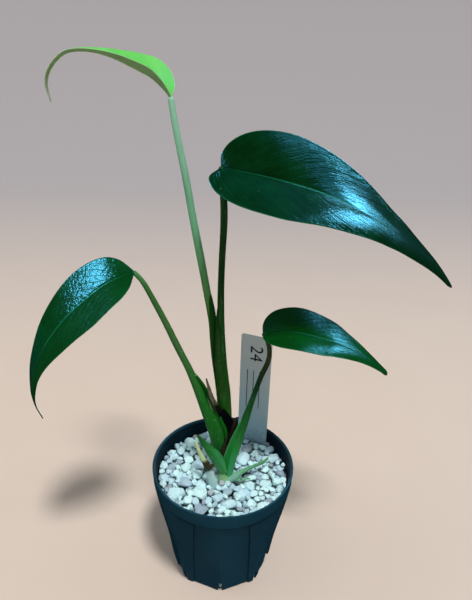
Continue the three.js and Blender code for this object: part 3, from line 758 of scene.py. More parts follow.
def slit_cutters():
    """Eight upright slots with round tops, one at each corner of the foot, as one mesh."""
    skin = Skin()
    half = SLIT_WIDTH / 2
    arc = [math.pi * k / 12 for k in range(13)]
    outline = [(-half, -2.0), (half, -2.0)]
    outline += [(half * math.cos(a), SLIT_HEIGHT - half + half * math.sin(a)) for a in arc]
    for k in range(CORNERS):
        out, side = compass(2 * math.pi * k / CORNERS)
        rings = []
        for reach in (SLIT_INNER_RADIUS, RIM_RADIUS):
            rings.append([out * reach + side * x + np.array([0, 0, z]) for x, z in outline])
        skin.add_tube(np.array(rings), [0, 1])
    return skin.make("slit_cutters")


def wall_fins():
    """
    Thin upright fins on the sides of the wall. FINS gives, for each of them, its azimuth in degrees, its
    lowest height, the share of its full depth that it has there, and the rise over which it gains the rest.
    """
    skin = Skin()
    for azimuth, low, share, length in FINS:
        turn = math.radians(azimuth)
        out, side = compass(turn)
        rows = []
        for z in np.linspace(low, BAND_FOOT + 0.3, 40):
            proud = FIN_HEIGHT * (share + (1 - share) * smooth_step(low, low + length, z))
            wall = wall_radius(np.array(turn), z)
            edge = wall + proud
            half = [(wall - 1.2, FIN_HALF_WIDTH), (edge - 0.2, FIN_HALF_WIDTH - 0.08), (edge, 0.2)]
            ring = [(r, -x) for r, x in half] + half[::-1]
            rows.append([out * r + side * x + np.array([0, 0, z]) for r, x in ring])
        skin.add_tube(np.array(rows), np.linspace(0, 1, 40))
    return skin


def moulded_pot():
    """The slit pot: band, panelled wall, eight slits and floor, open above the pumice."""
    rows = [("round", 0.0, 2.0), ("round", 0.0, 16.0), ("wall", 0.0, -2.2), ("wall", 0.0, -0.7),
            ("wall", 0.25, -0.2), ("wall", 0.7, 0.0)]
    rows += [("wall", z, 0.0) for z in np.linspace(2, BAND_FOOT - 3, 34)]
    rows += [("wall", BAND_FOOT - 1.5, -0.25), ("wall", BAND_FOOT - 0.2, -0.45), ("wall", BAND_FOOT, -0.3)]
    rows += [("round", BAND_FOOT + up, BAND_LOW_RADIUS - back)
             for up, back in ((0, 0.25), (0.08, 0.08), (0.3, 0))]
    rows += [("round", z, BAND_LOW_RADIUS + (RIM_RADIUS - 0.1 - BAND_LOW_RADIUS) * s)
             for s, z in zip((0.25, 0.5, 0.75, 1), np.linspace(BAND_FOOT + 2, POT_HEIGHT - 0.8, 4))]
    lip = RIM_WALL / 2
    rows += [("round", POT_HEIGHT - lip + lip * math.sin(turn), RIM_RADIUS - lip + lip * math.cos(turn))
             for turn in np.linspace(0, math.pi, 9)]
    rows += [("round", z, inside_band(z)) for z in (80, 77, BAND_FOOT + 0.5)]
    rows += [("inside", z, 0.0) for z in np.linspace(BAND_FOOT - 1.5, FLOOR + 1.2, 16)]
    rows += [("inside", FLOOR + 0.3, -0.4), ("inside", FLOOR, -1.3), ("round", FLOOR, 16.0)]
    rows += [("round", FLOOR, 2.0)]
    grid = np.array([pot_ring(z, kind, offset) for kind, z, offset in rows])
    skin = Skin()
    skin.add_tube(grid, np.linspace(0, 1, len(rows)))
    plastic = pot_plastic()
    pot = skin.make("moulded_pot", plastic, sharp=35)
    cutters = slit_cutters()
    slits = pot.modifiers.new("slits", "BOOLEAN")
    slits.operation = "DIFFERENCE"
    slits.solver = "EXACT"
    slits.object = cutters
    apply_modifiers(pot)
    bpy.data.objects.remove(cutters)
    smooth(pot.data, 35)
    settle(wall_fins().make("pot_wall_fins", plastic, sharp=35), "pot")
    return settle(pot, "pot", "slit_pot")


# Pumice

STONE_LEVELS = {"coarse": 3, "fine": 4}
STONE_SIZES = [1.8, 2.5, 3.1, 3.9, 4.8]
STONE_SHARES = [0.14, 0.22, 0.30, 0.22, 0.12]
STONE_CUTS = 11
STONES_TRIED = 2200
PLACES_TRIED = 14
BED_PITCH = 0.5
TOP_PIECES = 3
SHOWN_ABOVE = PUMICE_LEVEL - 3.2
STEMS = [(1.2, -7.2, 4.2), (-5.4, -11.6, 2.6), (3.0, -8.4, 2.6)]
FRONT_STONES = [(1.6, -14.2, 76.6, 2.7), (-2.6, -14.9, 76.2, 2.2), (5.6, -13.6, 76.2, 2.3),
                (-0.6, -12.9, 78.6, 2.0), (3.5, -12.8, 78.4, 2.1)]


def ball(level):
    """Directions and faces of an evenly split ball."""
    work = bmesh.new()
    bmesh.ops.create_icosphere(work, subdivisions=level, radius=1)
    directions = np.array([v.co[:] for v in work.verts])
    faces = np.array([[v.index for v in f.verts] for f in work.faces])
    work.free()
    return directions, faces


def stone_shape(directions, roll, half_axes):
    """An angular stone: a ball cut by planes, then roughened and pitted."""
    normals = unit(roll.normal(size=(STONE_CUTS, 3)))
    cuts = roll.uniform(0.60, 0.95, size=STONE_CUTS)
    facing = np.maximum(directions @ normals.T, 1e-3)
    reach = np.minimum(cuts / facing, 4.0)
    radius = (np.sum(reach**-36.0, axis=1) + 1.12**-36.0) ** (-1 / 36.0)
    seed = roll.uniform(0, 50)
    radius = radius * (1 + 0.05 * rough(directions, 0.5, seed) + 0.03 * rough(directions, 0.18, seed + 3))
    return directions * radius[:, None] * half_axes / 0.9


class Bed:
    """The height of the stones laid so far, on a square grid over the pot."""

    def __init__(self, level, reach):
        count = int(2 * reach / BED_PITCH) + 1
        self.ticks = np.linspace(-reach, reach, count)
        self.height = np.full((count, count), float(level))

    def patch(self, x, y, size):
        """The grid cells near a place, with their offsets from it."""
        i0, i1 = np.searchsorted(self.ticks, [x - size, x + size])
        j0, j1 = np.searchsorted(self.ticks, [y - size, y + size])
        dx = self.ticks[i0:i1, None] - x
        dy = self.ticks[None, j0:j1] - y
        return self.height[i0:i1, j0:j1], dx, dy

    def rest(self, x, y, turn, axes):
        """How high the middle of a stone comes to rest, and its dome over the cells below it."""
        cells, dx, dy = self.patch(x, y, max(axes[:2]))
        u = (dx * math.cos(turn) + dy * math.sin(turn)) / axes[0]
        v = (dy * math.cos(turn) - dx * math.sin(turn)) / axes[1]
        gone = u * u + v * v
        dome = axes[2] * np.sqrt(np.clip(1 - gone, 0, 1))
        touching = gone < 0.80
        return np.max(np.where(touching, cells + dome, -1e9)) - 0.10 * axes[2], cells, dome, gone < 0.95


def blocked(x, y, size):
    """True where a stone of that size would stand in the label or in one of the STEMS (x, y, radius)."""
    if any(math.hypot(x - sx, y - sy) < r + 0.5 * size for sx, sy, r in STEMS):
        return True
    turn = math.radians(LABEL["turn"])
    dx, dy = x - LABEL["x"], y - LABEL["y"]
    lengthways = dx * math.cos(turn) + dy * math.sin(turn)
    off = dy * math.cos(turn) - dx * math.sin(turn)
    return abs(lengthways) < LABEL["width"] / 2 + 0.5 * size and abs(off) < 0.5 + 0.75 * size


def lay_stones(roll, floor_level, top_level):
    """Drops stones one by one, each at the lowest of a few places, until the bed is full."""
    reach = BODY_TOP_RADIUS - WALL + 0.6
    bed = Bed(floor_level, reach)
    laid = []
    for _ in range(STONES_TRIED):
        size = roll.choice(STONE_SIZES, p=STONE_SHARES) * roll.uniform(0.9, 1.12)
        axes = size * np.array([1.0, roll.uniform(0.66, 0.95), roll.uniform(0.5, 0.8)])
        best = None
        for _ in range(PLACES_TRIED):
            spot = roll.uniform(0, 1)
            around = roll.uniform(0, 2 * math.pi)
            out = (reach - 0.85 * size) * math.sqrt(spot)
            x, y = out * math.cos(around), out * math.sin(around)
            turn = roll.uniform(0, math.pi)
            if blocked(x, y, size):
                continue
            level, cells, dome, under = bed.rest(x, y, turn, axes)
            if best is None or level < best[0]:
                best = (level, x, y, turn, cells, dome, under)
        if best is None:
            continue
        level, x, y, turn, cells, dome, under = best
        if level + 0.35 * axes[2] > top_level:
            continue
        cells[under] = np.maximum(cells, level + dome)[under]
        laid.append({"middle": np.array([x, y, level]), "axes": axes, "turn": turn})
    return laid


def slit_stones(roll):
    """Stones that show through the slits at the foot."""
    laid = []
    for k in range(CORNERS):
        turn = 2 * math.pi * k / CORNERS
        out, side = compass(turn)
        for height, shift in ((4.6, -1.4), (7.4, 1.6), (10.6, -0.8)):
            size = roll.uniform(2.3, 2.9)
            middle = out * (27.2 + 0.09 * height) + side * shift + np.array([0, 0, height])
            laid.append({"middle": middle, "axes": size * np.array([1, 0.85, 0.75]), "turn": turn})
        lodged = out * (30.9 if k else 29.9) + np.array([0, 0, 4.6 + 0.6 * (k % 3)])
        laid.append({"middle": lodged, "axes": np.array([1.25, 1.25, 2.2]), "turn": turn, "lean": 0.0})
    return laid


def kept_inside(points):
    """Points moved inwards where they would stand in the pot's wall."""
    angles = np.arctan2(points[:, 0], -points[:, 1])
    z = points[:, 2]
    under_band = wall_radius(angles, np.clip(z, 0, BAND_FOOT)) - WALL
    limit = np.minimum(under_band, inside_band(z)) - 0.25
    out = np.hypot(points[:, 0], points[:, 1])
    share = np.minimum(1, limit / np.maximum(out, 1e-6))
    return points * np.stack([share, share, np.ones_like(share)], -1)


def stones_object(name, laid, level, roll, material):
    """Every stone of a list as one object, each with its own tone."""
    directions, faces = ball(level)
    points = []
    rings = []
    tones = []
    rises = []
    for number, stone in enumerate(laid):
        shape = stone_shape(directions, roll, stone["axes"])
        tilt = roll.uniform(-0.45, 0.45) * stone.get("lean", 1.0)
        lean = Matrix.Rotation(stone["turn"], 3, "Z") @ Matrix.Rotation(tilt, 3, "X")
        placed = shape @ np.array(lean).T + stone["middle"]
        points.append(placed if "lean" in stone else kept_inside(placed))
        rings.append(faces + number * len(directions))
        tones.append(np.full(len(directions), roll.uniform(0, 1)))
        # rise: how high each point stands on its stone, which the material turns into painted shade below.
        rises.append((placed[:, 2] - stone["middle"][2]) / stone["axes"][2])
    mesh = bpy.data.meshes.new(name)
    mesh.from_pydata((np.vstack(points) * MM).tolist(), [], np.vstack(rings).tolist())
    set_point_values(mesh, "tone", np.concatenate(tones))
    set_point_values(mesh, "rise", np.concatenate(rises))
    smooth(mesh, 42)
    return place_object(name, mesh, material)


def pumice_core():
    """The bed below the loose stones, as one bumpy body that fills the pot, in a copy of the stone material
    darkened as painted shade.
    """
    top = PUMICE_LEVEL - 8
    rows = [(FLOOR + 0.3, 0.05), (FLOOR + 0.3, 0.5)]
    heights = np.linspace(FLOOR + 0.6, top, 44)
    sides = slice(len(rows), len(rows) + len(heights))
    rows += [(z, 1.0) for z in heights]
    rows += [(top + 0.5, s) for s in np.linspace(0.95, 0.02, 18)]
    angles = np.linspace(0, 2 * math.pi, 128, endpoint=False)
    grid = np.array([ring_points((wall_radius(angles, z) - WALL - 1.6) * share, angles, z)
                     for z, share in rows])
    bump = rough(grid, 3.2, 5)
    outward = unit(grid * np.array([1, 1, 0]) + np.array([0, 0, 1e-6]))
    grid[sides] += outward[sides] * bump[sides, :, None] * 1.1
    grid[sides.stop:] += np.array([0, 0, 1.6]) * bump[sides.stop:, :, None]
    skin = Skin()
    skin.add_tube(grid, np.linspace(0, 1, len(rows)))
    # Painted shade: the core uses the stone material darkened to 0.42, so the gaps between the loose stones
    # look shaded.
    core = skin.make("pumice_core", pumice_stone("pumice_shaded", 0.42))
    for key, value in (("tone", 0.4), ("rise", 0.1)):
        set_point_values(core.data, key, np.full(len(core.data.vertices), value))
    return settle(core, "pumice", "pumice_bed")


def pumice():
    """The whole filling of the pot. Its top stones are dealt out to a few pieces, as they are many."""
    pumice_core()
    roll = np.random.default_rng(20)
    laid = lay_stones(roll, PUMICE_LEVEL - 9, PUMICE_LEVEL + 1.6)
    for x, y, z, size in FRONT_STONES:
        axes = size * np.array([1, 0.8, 0.75])
        laid.append({"middle": np.array([x, y, z]), "axes": axes, "turn": 0.3 * x})
    upper = [stone for stone in laid if stone["middle"][2] > SHOWN_ABOVE]
    lower = [stone for stone in laid if stone["middle"][2] <= SHOWN_ABOVE]
    skin = pumice_stone("pumice_stone", 1.0)
    nodes = [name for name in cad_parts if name.startswith("pumice_grain")]
    for first in range(TOP_PIECES):
        name = f"pumice_stones_top_{first + 1}"
        top = stones_object(name, upper[first::TOP_PIECES], STONE_LEVELS["fine"], roll, skin)
        settle(top, "pumice", *sorted(nodes)[first::TOP_PIECES])
    settle(stones_object("pumice_stones_below", lower, STONE_LEVELS["coarse"], roll, skin), "pumice")
    seen = slit_stones(roll)
    settle(stones_object("pumice_stones_in_slits", seen, STONE_LEVELS["coarse"], roll, skin), "pumice")


# Stalks, sheaths and roots

SHEATH_WALL = 0.45


def add_rod(skin, path, radii, flat=1.0, around=32, pitch=1.2, ends=(0.3, 0.6), bumps=None, kind=0,
            span=(0, 1)):
    """
    Adds a rod bent along a path, with rounded ends, to a skin. Its places along the piece run from the
    first number of span to the second.
    """
    line = Line(path)
    rows = max(8, int(line.length / pitch))
    share = np.linspace(0, 1, rows)
    shrink = np.ones(rows)
    slide = np.zeros(rows)
    dome = np.radians([84, 66, 44, 22])
    foot, tip = swell(radii, 0.0), swell(radii, 1.0)
    share = np.concatenate([np.zeros(4), share, np.ones(4)])
    shrink = np.concatenate([np.cos(dome), shrink, np.cos(dome[::-1])])
    slide = np.concatenate([-foot * ends[0] * np.sin(dome), slide, tip * ends[1] * np.sin(dome[::-1])])
    place, ahead, wide, deep = line.frame(share)
    radius = swell(radii, share) * shrink
    angles = np.linspace(0, 2 * math.pi, around, endpoint=False)
    ring_x = np.cos(angles)[None, :] * radius[:, None]
    ring_z = np.sin(angles)[None, :] * radius[:, None] * flat
    if bumps is not None:
        factor = bumps(share[:, None], angles[None, :])
        ring_x, ring_z = ring_x * factor, ring_z * factor
    middle = place + ahead * slide[:, None]
    grid = middle[:, None] + wide[:, None] * ring_x[..., None] + deep[:, None] * ring_z[..., None]
    skin.add_tube(grid, span[0] + share * (span[1] - span[0]), kind=kind)


def waver(amount, pitch, seed):
    """A function that makes a rod's surface a little uneven."""
    def bumps(share, angles):
        share, angles = np.broadcast_arrays(share, angles)
        points = np.stack([np.cos(angles) * 1.2, np.sin(angles) * 1.2, share * pitch], -1)
        return 1 + amount * rough(points, 1.0, seed)
    return bumps


def add_sheath(skin, path, radii, hollow, opening, facing):
    """
    Adds a sheath to a skin: a rod along path with a hollow let into the side that faces facing.
    hollow gives the middle and radius of what it clasps, and opening half the gap, in degrees.
    """
    line = Line(path)
    rows = int(line.length)
    share = np.linspace(0, 1, rows)
    middle = line.at(share)
    radius = swell(radii, share)
    held, held_radius = hollow(middle, share)
    towards = unit((held - middle) * np.array([1, 1, 0]) + np.array(facing) * 1e-3)
    side = np.cross([0, 0, 1], towards)
    gap = np.radians(swell(opening, share))
    sweep = np.linspace(0, 1, 22)
    rings = []
    for i in range(rows):
        angles = gap[i] + (2 * math.pi - 2 * gap[i]) * sweep
        spoke = np.cos(angles)[:, None] * towards[i] + np.sin(angles)[:, None] * side[i]
        inner = held[i] + spoke * held_radius[i]
        to_inner = inner - middle[i]
        outward = unit(to_inner + spoke * 0.6)
        distance = np.maximum(np.linalg.norm(to_inner, axis=1) + SHEATH_WALL, radius[i])
        edge = np.minimum(1, 6 * np.minimum(sweep, 1 - sweep) + 0.25)
        outer = middle[i] + outward * distance[:, None]
        outer = inner + (outer - inner) * edge[:, None]
        rings.append(np.vstack([outer, inner[::-1]]))
    skin.add_tube(np.array(rings), share, kind=1)


def stalk(letter, stops, name, seed, **looks):
    """The skin and material of one leaf stalk, a little uneven, with a slight groove on its upper side."""
    spec = STALKS[letter]
    groove = waver(0.05, 9, seed)

    def bumps(share, angles):
        upper = np.exp(-(((angles - 1.5 * math.pi) / 0.5) ** 2)) * smooth_step(0.3, 0.5, share)
        return groove(share, angles) * (1 - 0.07 * upper)

    skin = Skin()
    add_rod(skin, spec["path"], spec["radii"], bumps=bumps)
    return skin, stalk_skin(name, stops, **looks)


def hollow_along(path, radius):
    """What a sheath clasps: the place and radius of a stem at the sheath's own heights."""
    points = Line(path).points

    def read(middle, share):
        order = np.argsort(points[:, 2])
        found = [np.interp(middle[:, 2], points[order, 2], points[order, k]) for k in (0, 1)]
        return np.stack([*found, middle[:, 2]], -1), np.interp(share, [0, 1], radius)
    return read


def hollow_beside(shift, radii):
    """What a sheath clasps where its leaf has gone: an empty channel beside its middle."""
    def read(middle, share):
        return middle + np.array(shift) * swell(radii, share)[:, None] / radii[0], swell(radii, share)
    return read


def stalk_c():
    """The thick dark stalk, whose sheath wraps the youngest stalk."""
    stops = [(0.0, (0.006, 0.085, 0.004)), (0.3, (0.004, 0.065, 0.001)), (0.62, (0.003, 0.044, 0.0005)),
             (0.9, (0.006, 0.062, 0.001)), (1.0, (0.010, 0.08, 0.004))]
    skin, colour = stalk("c", stops, "stalk_dark", 3)
    path = [[0.8, 4.4, 113.6], [-0.2, 4.3, 132], [-1.8, 4.1, 147], [-2.9, 3.9, 161], [-3.9, 3.6, 175],
            [-4.7, 3.2, 188], [-5.9, 3.6, 202]]
    youngest = hollow_along(STALKS["d"]["path"], [2.4, 2.2])
    add_sheath(skin, path, [4.2, 4.4, 4.45, 4.1, 3.7, 2.8, 1.4], youngest,
               [64, 58, 52, 52, 62, 100, 150], (-0.4, 0.9, 0))
    front = [[0.7, 3.6, 113.6], [-0.4, 3.4, 132], [-1.9, 3.2, 147], [-2.9, 3.0, 161], [-3.5, 2.8, 175],
             [-3.6, 2.6, 186], [-3.4, 2.3, 195]]
    add_rod(skin, front, [4.3, 4.3, 4.2, 3.8, 3.2, 2.6, 1.9], flat=0.6, bumps=waver(0.04, 9, 4), kind=2)
    sheath = sheath_skin("sheath_dark", (0.006, 0.060, 0.001), (0.022, 0.105, 0.006), (0.24, 0.50, 0.16))
    front_stops = [(0.0, (0.016, 0.12, 0.006)), (0.3, (0.008, 0.070, 0.002)), (1.0, (0.003, 0.045, 0.001))]
    fold = stalk_skin("sheath_fold", front_stops)
    return settle(skin.make("leaf_stalk_c", colour, sheath, fold), "petiole", "petiole_c")


def sheath_skin(name, deep, light, edge):
    """The skin of a sheath, whose free margins are thin and pale."""
    paint = Paint(name, specular_ior_level=0.25)
    where = paint.place()
    _, across = paint.along_across()
    from_edge = ((across * 2).part() - 0.5).size() * 2
    lines = paint.noise(paint.stretched(where, (1, 1, 0.05)), 0.6, 4, 0.6)
    cloud = paint.noise(paint.stretched(where, (1, 1, 0.3)), 4, 3)
    base = paint.mix(deep, light, (from_edge.step(0.35, 0.95) * 0.8 + lines * 0.3 - 0.1).held())
    base = paint.mix(base, edge, from_edge.step(0.90, 0.985) * 0.85)
    relief = paint.bump(lines + cloud, 0.10)
    return paint.finish(base_color=base, roughness=0.36 + 0.14 * cloud, normal=relief)


def stalk_b():
    """The left stalk, with an open sheath on its inner side."""
    stops = [(0.0, (0.004, 0.13, 0.010)), (0.3, (0.006, 0.15, 0.010)), (0.6, (0.045, 0.16, 0.04)),
             (0.9, (0.035, 0.15, 0.025)), (1.0, (0.06, 0.24, 0.06))]
    skin, colour = stalk("b", stops, "stalk_mid", 5)
    path = [[-2.1, -2.5, 94.5], [-2.2, -2.4, 102], [-3.8, -1.4, 111], [-6.2, -0.3, 118], [-8.7, 0.5, 125],
            [-12.0, 1.1, 134], [-15.6, 1.1, 144], [-18.8, 0.8, 151.5]]
    channel = hollow_beside((2.4, 1.4, 0), [1.7, 2.0, 2.3, 2.4, 2.4, 2.2, 1.7, 1.0])
    add_sheath(skin, path, [3.0, 4.0, 4.5, 4.5, 4.1, 4.0, 3.5, 2.2], channel,
               [16, 14, 14, 20, 36, 56, 84, 145], (1, 0.7, 0))
    front = [[-1.6, -2.0, 95.5], [-1.9, -1.6, 101], [-3.2, -0.8, 108.5], [-5.8, 0.1, 116.5],
             [-8.8, 0.8, 124]]
    add_rod(skin, front, [3.2, 3.5, 3.5, 2.9, 1.7], flat=0.6, bumps=waver(0.04, 9, 6), kind=2)
    sheath = sheath_skin("sheath_mid", (0.004, 0.12, 0.008), (0.012, 0.19, 0.014), (0.36, 0.66, 0.26))
    fold = stalk_skin("sheath_left_fold", [(0.0, (0.004, 0.12, 0.009)), (1.0, (0.006, 0.14, 0.010))])
    return settle(skin.make("leaf_stalk_b", colour, sheath, fold), "petiole", "petiole_b")


def stalk_a():
    """The right stalk, oldest, with a brown bend under its leaf."""
    stops = [(0.0, (0.050, 0.42, 0.16)), (0.2, (0.016, 0.27, 0.05)), (0.38, (0.005, 0.12, 0.016)),
             (0.7, (0.001, 0.022, 0.004)), (0.84, (0.035, 0.05, 0.005)), (0.92, (0.035, 0.055, 0.006)),
             (1.0, (0.006, 0.06, 0.010))]
    skin, colour = stalk("a", stops, "stalk_old", 7)
    path = [[2.2, -7.6, 79], [4.6, -6.6, 95], [6.9, -5.8, 108], [9.4, -5.2, 119], [11.2, -5, 124.5]]
    channel = hollow_beside((-2.3, 0.9, 0), [2.0, 2.2, 1.8, 1.2, 0.8])
    add_sheath(skin, path, [3.0, 3.6, 3.2, 2.3, 1.7], channel, [62, 56, 60, 80, 145], (-1, 0.3, 0))
    sheath = sheath_skin("sheath_old", (0.008, 0.20, 0.03), (0.02, 0.28, 0.06), (0.34, 0.60, 0.34))
    return settle(skin.make("leaf_stalk_a", colour, sheath), "petiole", "petiole_a")


def stalk_d():
    """The youngest stalk, thin and pale."""
    stops = [(0.0, (0.04, 0.14, 0.02)), (0.42, (0.06, 0.19, 0.03)), (0.52, (0.075, 0.26, 0.08)),
             (0.66, (0.13, 0.43, 0.23)), (0.86, (0.24, 0.56, 0.38)), (1.0, (0.30, 0.64, 0.46))]
    skin, colour = stalk("d", stops, "stalk_young", 9, blotch=(0.5, 0.65, 0.5))
    return settle(skin.make("leaf_stalk_d", colour), "young_petiole", "petiole_d")


# Blades

BLADE_ROWS = 190
HALF_BLADE_COLUMNS = 38


def blade_rows(count):
    """Shares along a blade, closer together at its base and tip."""
    s = np.linspace(0, 1, count)
    return 0.55 * s + 0.45 * 0.5 * (1 - np.cos(math.pi * s))


def blade_columns(count):
    """Shares across a blade from -1 to 1, closer together at the midrib and at the margins."""
    s = np.linspace(0, 1, count)
    half = 0.5 * s + 0.5 * (0.5 - 0.5 * np.cos(math.pi * s))
    half = np.unique(np.concatenate([half, [0.93, 0.965, 0.99]]))
    return np.concatenate([-half[:0:-1], half])


def blade_surface(spec, rows, columns, lift):
    """Points of a blade lifted off its middle sheet, with the share of length of each."""
    midrib = Line(spec["midrib"])
    leftward = 1.0 if spec["midrib"][-1][0] < spec["midrib"][0][0] else -1.0
    u, v = np.meshgrid(rows, columns, indexing="ij")
    near = v >= 0
    reach = np.abs(v)
    edge_along = np.zeros_like(u)
    edge_half = np.zeros_like(u)
    for is_near, lobe, halves in ((True, spec["lobes"][0], spec["near_half"]),
                                  (False, spec["lobes"][1], spec["far_half"])):
        outline = catmull([[a - lobe * s, w] for a, s, w in zip(ALONG, LOBE_SHARE, halves)], 40)
        ticks = np.linspace(0, 1, len(outline))
        chosen = near == is_near
        edge_along[chosen] = np.interp(u, ticks, outline[:, 0])[chosen]
        edge_half[chosen] = np.interp(u, ticks, outline[:, 1])[chosen]
    share = u + (edge_along - u) * reach
    on_rib = np.clip(share, 0, 1)
    ahead = midrib.heading(on_rib)
    point = midrib.at(on_rib) + ahead * ((share - on_rib) * midrib.length)[..., None]
    front = np.array([0.0, -1.0, 0.0])
    level = unit(front - ahead * (ahead @ front)[..., None])
    up = np.cross(ahead, level) * leftward
    slope = np.where(near, ease(spec["near"], share), ease(spec["far"], share))
    bend = np.where(near, ease(spec["near_curl"], share), ease(spec["far_curl"], share))
    steps = 8
    stride = edge_half * spec["width"] * reach / steps
    out = np.zeros_like(u)
    down = np.zeros_like(u)
    for k in range(steps):
        part = reach * (k + 0.5) / steps
        angle = np.radians(slope - bend / 2 + bend * part)
        out += stride * np.cos(angle)
        down += stride * np.sin(angle)
    sign = np.where(near, 1.0, -1.0)
    point = point + level * (sign * out)[..., None] - up * (sign * down)[..., None]
    middle_tilt = math.radians((spec["near"][0] + spec["far"][0]) / 2)
    tilt = middle_tilt + (angle - middle_tilt) * smooth_step(0.0, 0.03, reach)
    normal = up * np.cos(tilt)[..., None] + level * np.sin(tilt)[..., None]
    span = edge_half * spec["width"] * reach
    return point + normal * lift(share, reach, span)[..., None], share


def vein_bulge(share, reach):
    """How far the tissue between the side veins stands up, from 0 at a vein to 1 between two."""
    course = (share - VEINS["slant"] * reach ** VEINS["sweep"]) * VEINS["count"]
    off_vein = 1 - np.abs((course % 1.0) - 0.5) * 2
    ease_in = smooth_step(0.02, 0.2, reach) * (1 - smooth_step(0.75, 0.98, reach))
    return np.sin(off_vein * math.pi / 2) ** 0.7 * ease_in * (1 - smooth_step(0.8, 1.0, share))


def blade(letter, face, back, slot_name, rib, bulge=0.06, thick=0.45):
    """One leaf blade as a closed sheet, veined on both faces, its midrib sunk above and proud below."""
    spec = BLADES[letter]

    def half_thick(reach):
        return 0.5 * thick * (1 - 0.45 * reach) * np.sqrt(np.clip(1 - reach**30, 0, 1))

    def top(share, reach, span):
        channel = 0.16 * np.exp(-((span / 0.9) ** 2)) * (1 - smooth_step(0.5, 0.9, share))
        rim = 0.08 * smooth_step(0.95, 0.975, reach) * (1 - smooth_step(0.985, 1.0, reach))
        return half_thick(reach) + bulge * vein_bulge(share, reach) - channel + rim

    def under(share, reach, span):
        size = rib * (1 - 0.85 * smooth_step(0.0, 0.9, share))
        ridge = size * np.sqrt(np.clip(1 - (span / (size + 0.15)) ** 2, 0, 1))
        ridge = np.maximum(ridge, 0.35 * size * np.exp(-((span / (size * 1.6)) ** 2)))
        return -half_thick(reach) + 0.8 * bulge * vein_bulge(share, reach) - ridge * (1 - reach**2)

    along = blade_rows(BLADE_ROWS)
    across = blade_columns(HALF_BLADE_COLUMNS)
    upper, share = blade_surface(spec, along, across, top)
    lower, _ = blade_surface(spec, along, across, under)
    skin = Skin()
    skin.add_grid(upper, share, 0.5 + 0.5 * across)
    below = skin.add_grid(lower, share, 0.5 + 0.5 * across, kind=1)
    for row in (0, BLADE_ROWS - 1):
        for k in range(row * len(across), (row + 1) * len(across) - 1):
            skin.add_cap([k, k + 1, below + k + 1, below + k], along[row])
    made = skin.make(f"leaf_blade_{letter}", face, back, weld=0.004, sharp=75)
    return settle(made, slot_name, f"blade_{letter}")


def blades():
    """The four leaf blades."""
    grown = leaf_face(
        "leaf_dark_face", (0.0002, 0.020, 0.001), (0.0004, 0.036, 0.006), (0.003, 0.14, 0.05),
        {"haze": 0.17, "shine": 0.5, "rough": 0.11, "ripple": 0.08, "streaks": 6, "streak": 0.22,
         "grain": 0.10, "tip": 0.3,
         "quiet": {"strip": (0.03, 0.24), "start": (0.34, 0.60), "share": 0.95, "tip": (0.60, 0.75),
                   "deep": 0.7}})
    grainy = leaf_face(
        "leaf_grainy_face", (0.0004, 0.046, 0.003), (0.0006, 0.064, 0.008), (0.003, 0.18, 0.07),
        {"haze": 0.14, "shine": 0.5, "rough": 0.13, "ripple": 0.10, "streaks": 8, "streak": 0.03,
         "grain": 0.36, "tip": 0.8,
         "quiet": {"strip": (0.49, 1.2), "start": (-0.3, -0.2), "share": 0.85, "tip": (0.6, 0.9),
                   "deep": 0.0}})
    old = leaf_face(
        "leaf_old_face", (0.0003, 0.054, 0.001), (0.0005, 0.074, 0.005), (0.003, 0.15, 0.04),
        {"haze": 0.08, "shine": 0.45, "rough": 0.17, "ripple": 0.10, "streaks": 8, "streak": 0.12,
         "grain": 0.14, "tip": 0.6,
         "quiet": {"strip": (0.03, 0.24), "start": (0.52, 0.72), "share": 0.9, "tip": (0.80, 0.92),
                   "foot": (0.16, 0.36), "deep": 0.2}})
    young = leaf_face(
        "leaf_young_face", (0.13, 0.63, 0.10), (0.18, 0.70, 0.14), (0.50, 0.80, 0.46),
        {"haze": 0.2, "shine": 0.3, "rough": 0.35, "ripple": 0.06, "streaks": 6, "streak": 0.02,
         "grain": 0.03, "tip": 0.0})
    back = leaf_back("leaf_dark_back", (0.010, 0.075, 0.022), (0.018, 0.11, 0.035), (0.08, 0.24, 0.08))
    young_back = leaf_back(
        "leaf_young_back", (0.13, 0.29, 0.09), (0.23, 0.42, 0.15), (0.58, 0.80, 0.60), pale_tip=0.8)
    blade("a", old, back, "blade", rib=1.0)
    blade("b", grainy, back, "blade", rib=1.2)
    blade("c", grown, back, "blade", rib=1.4)
    blade("d", young, young_back, "young_blade", bulge=0.03, rib=0.5, thick=0.4)


# Crown, stubs, dried pieces and roots

def crown():
    """The short stem, ringed with the scars of old leaves."""
    uneven = waver(0.10, 10, 21)

    def bumps(share, angles):
        rings = np.exp(-(((share * 7) % 1.0 - 0.5) / 0.13) ** 2)
        return uneven(share, angles) * (1 - 0.05 * rings)

    skin = Skin()
    add_rod(skin, CROWN["path"], CROWN["radii"], around=48, pitch=0.6, bumps=bumps)
    stops = [(0.0, (0.40, 0.56, 0.34)), (0.26, (0.34, 0.60, 0.36)), (0.36, (0.20, 0.44, 0.16)),
             (0.46, (0.05, 0.06, 0.015)), (0.6, (0.02, 0.018, 0.008)), (1.0, (0.004, 0.006, 0.006))]
    settle(skin.make("crown_stem_skin", stalk_skin("crown_skin", stops, shine=0.5)), "crown", "crown_stem")


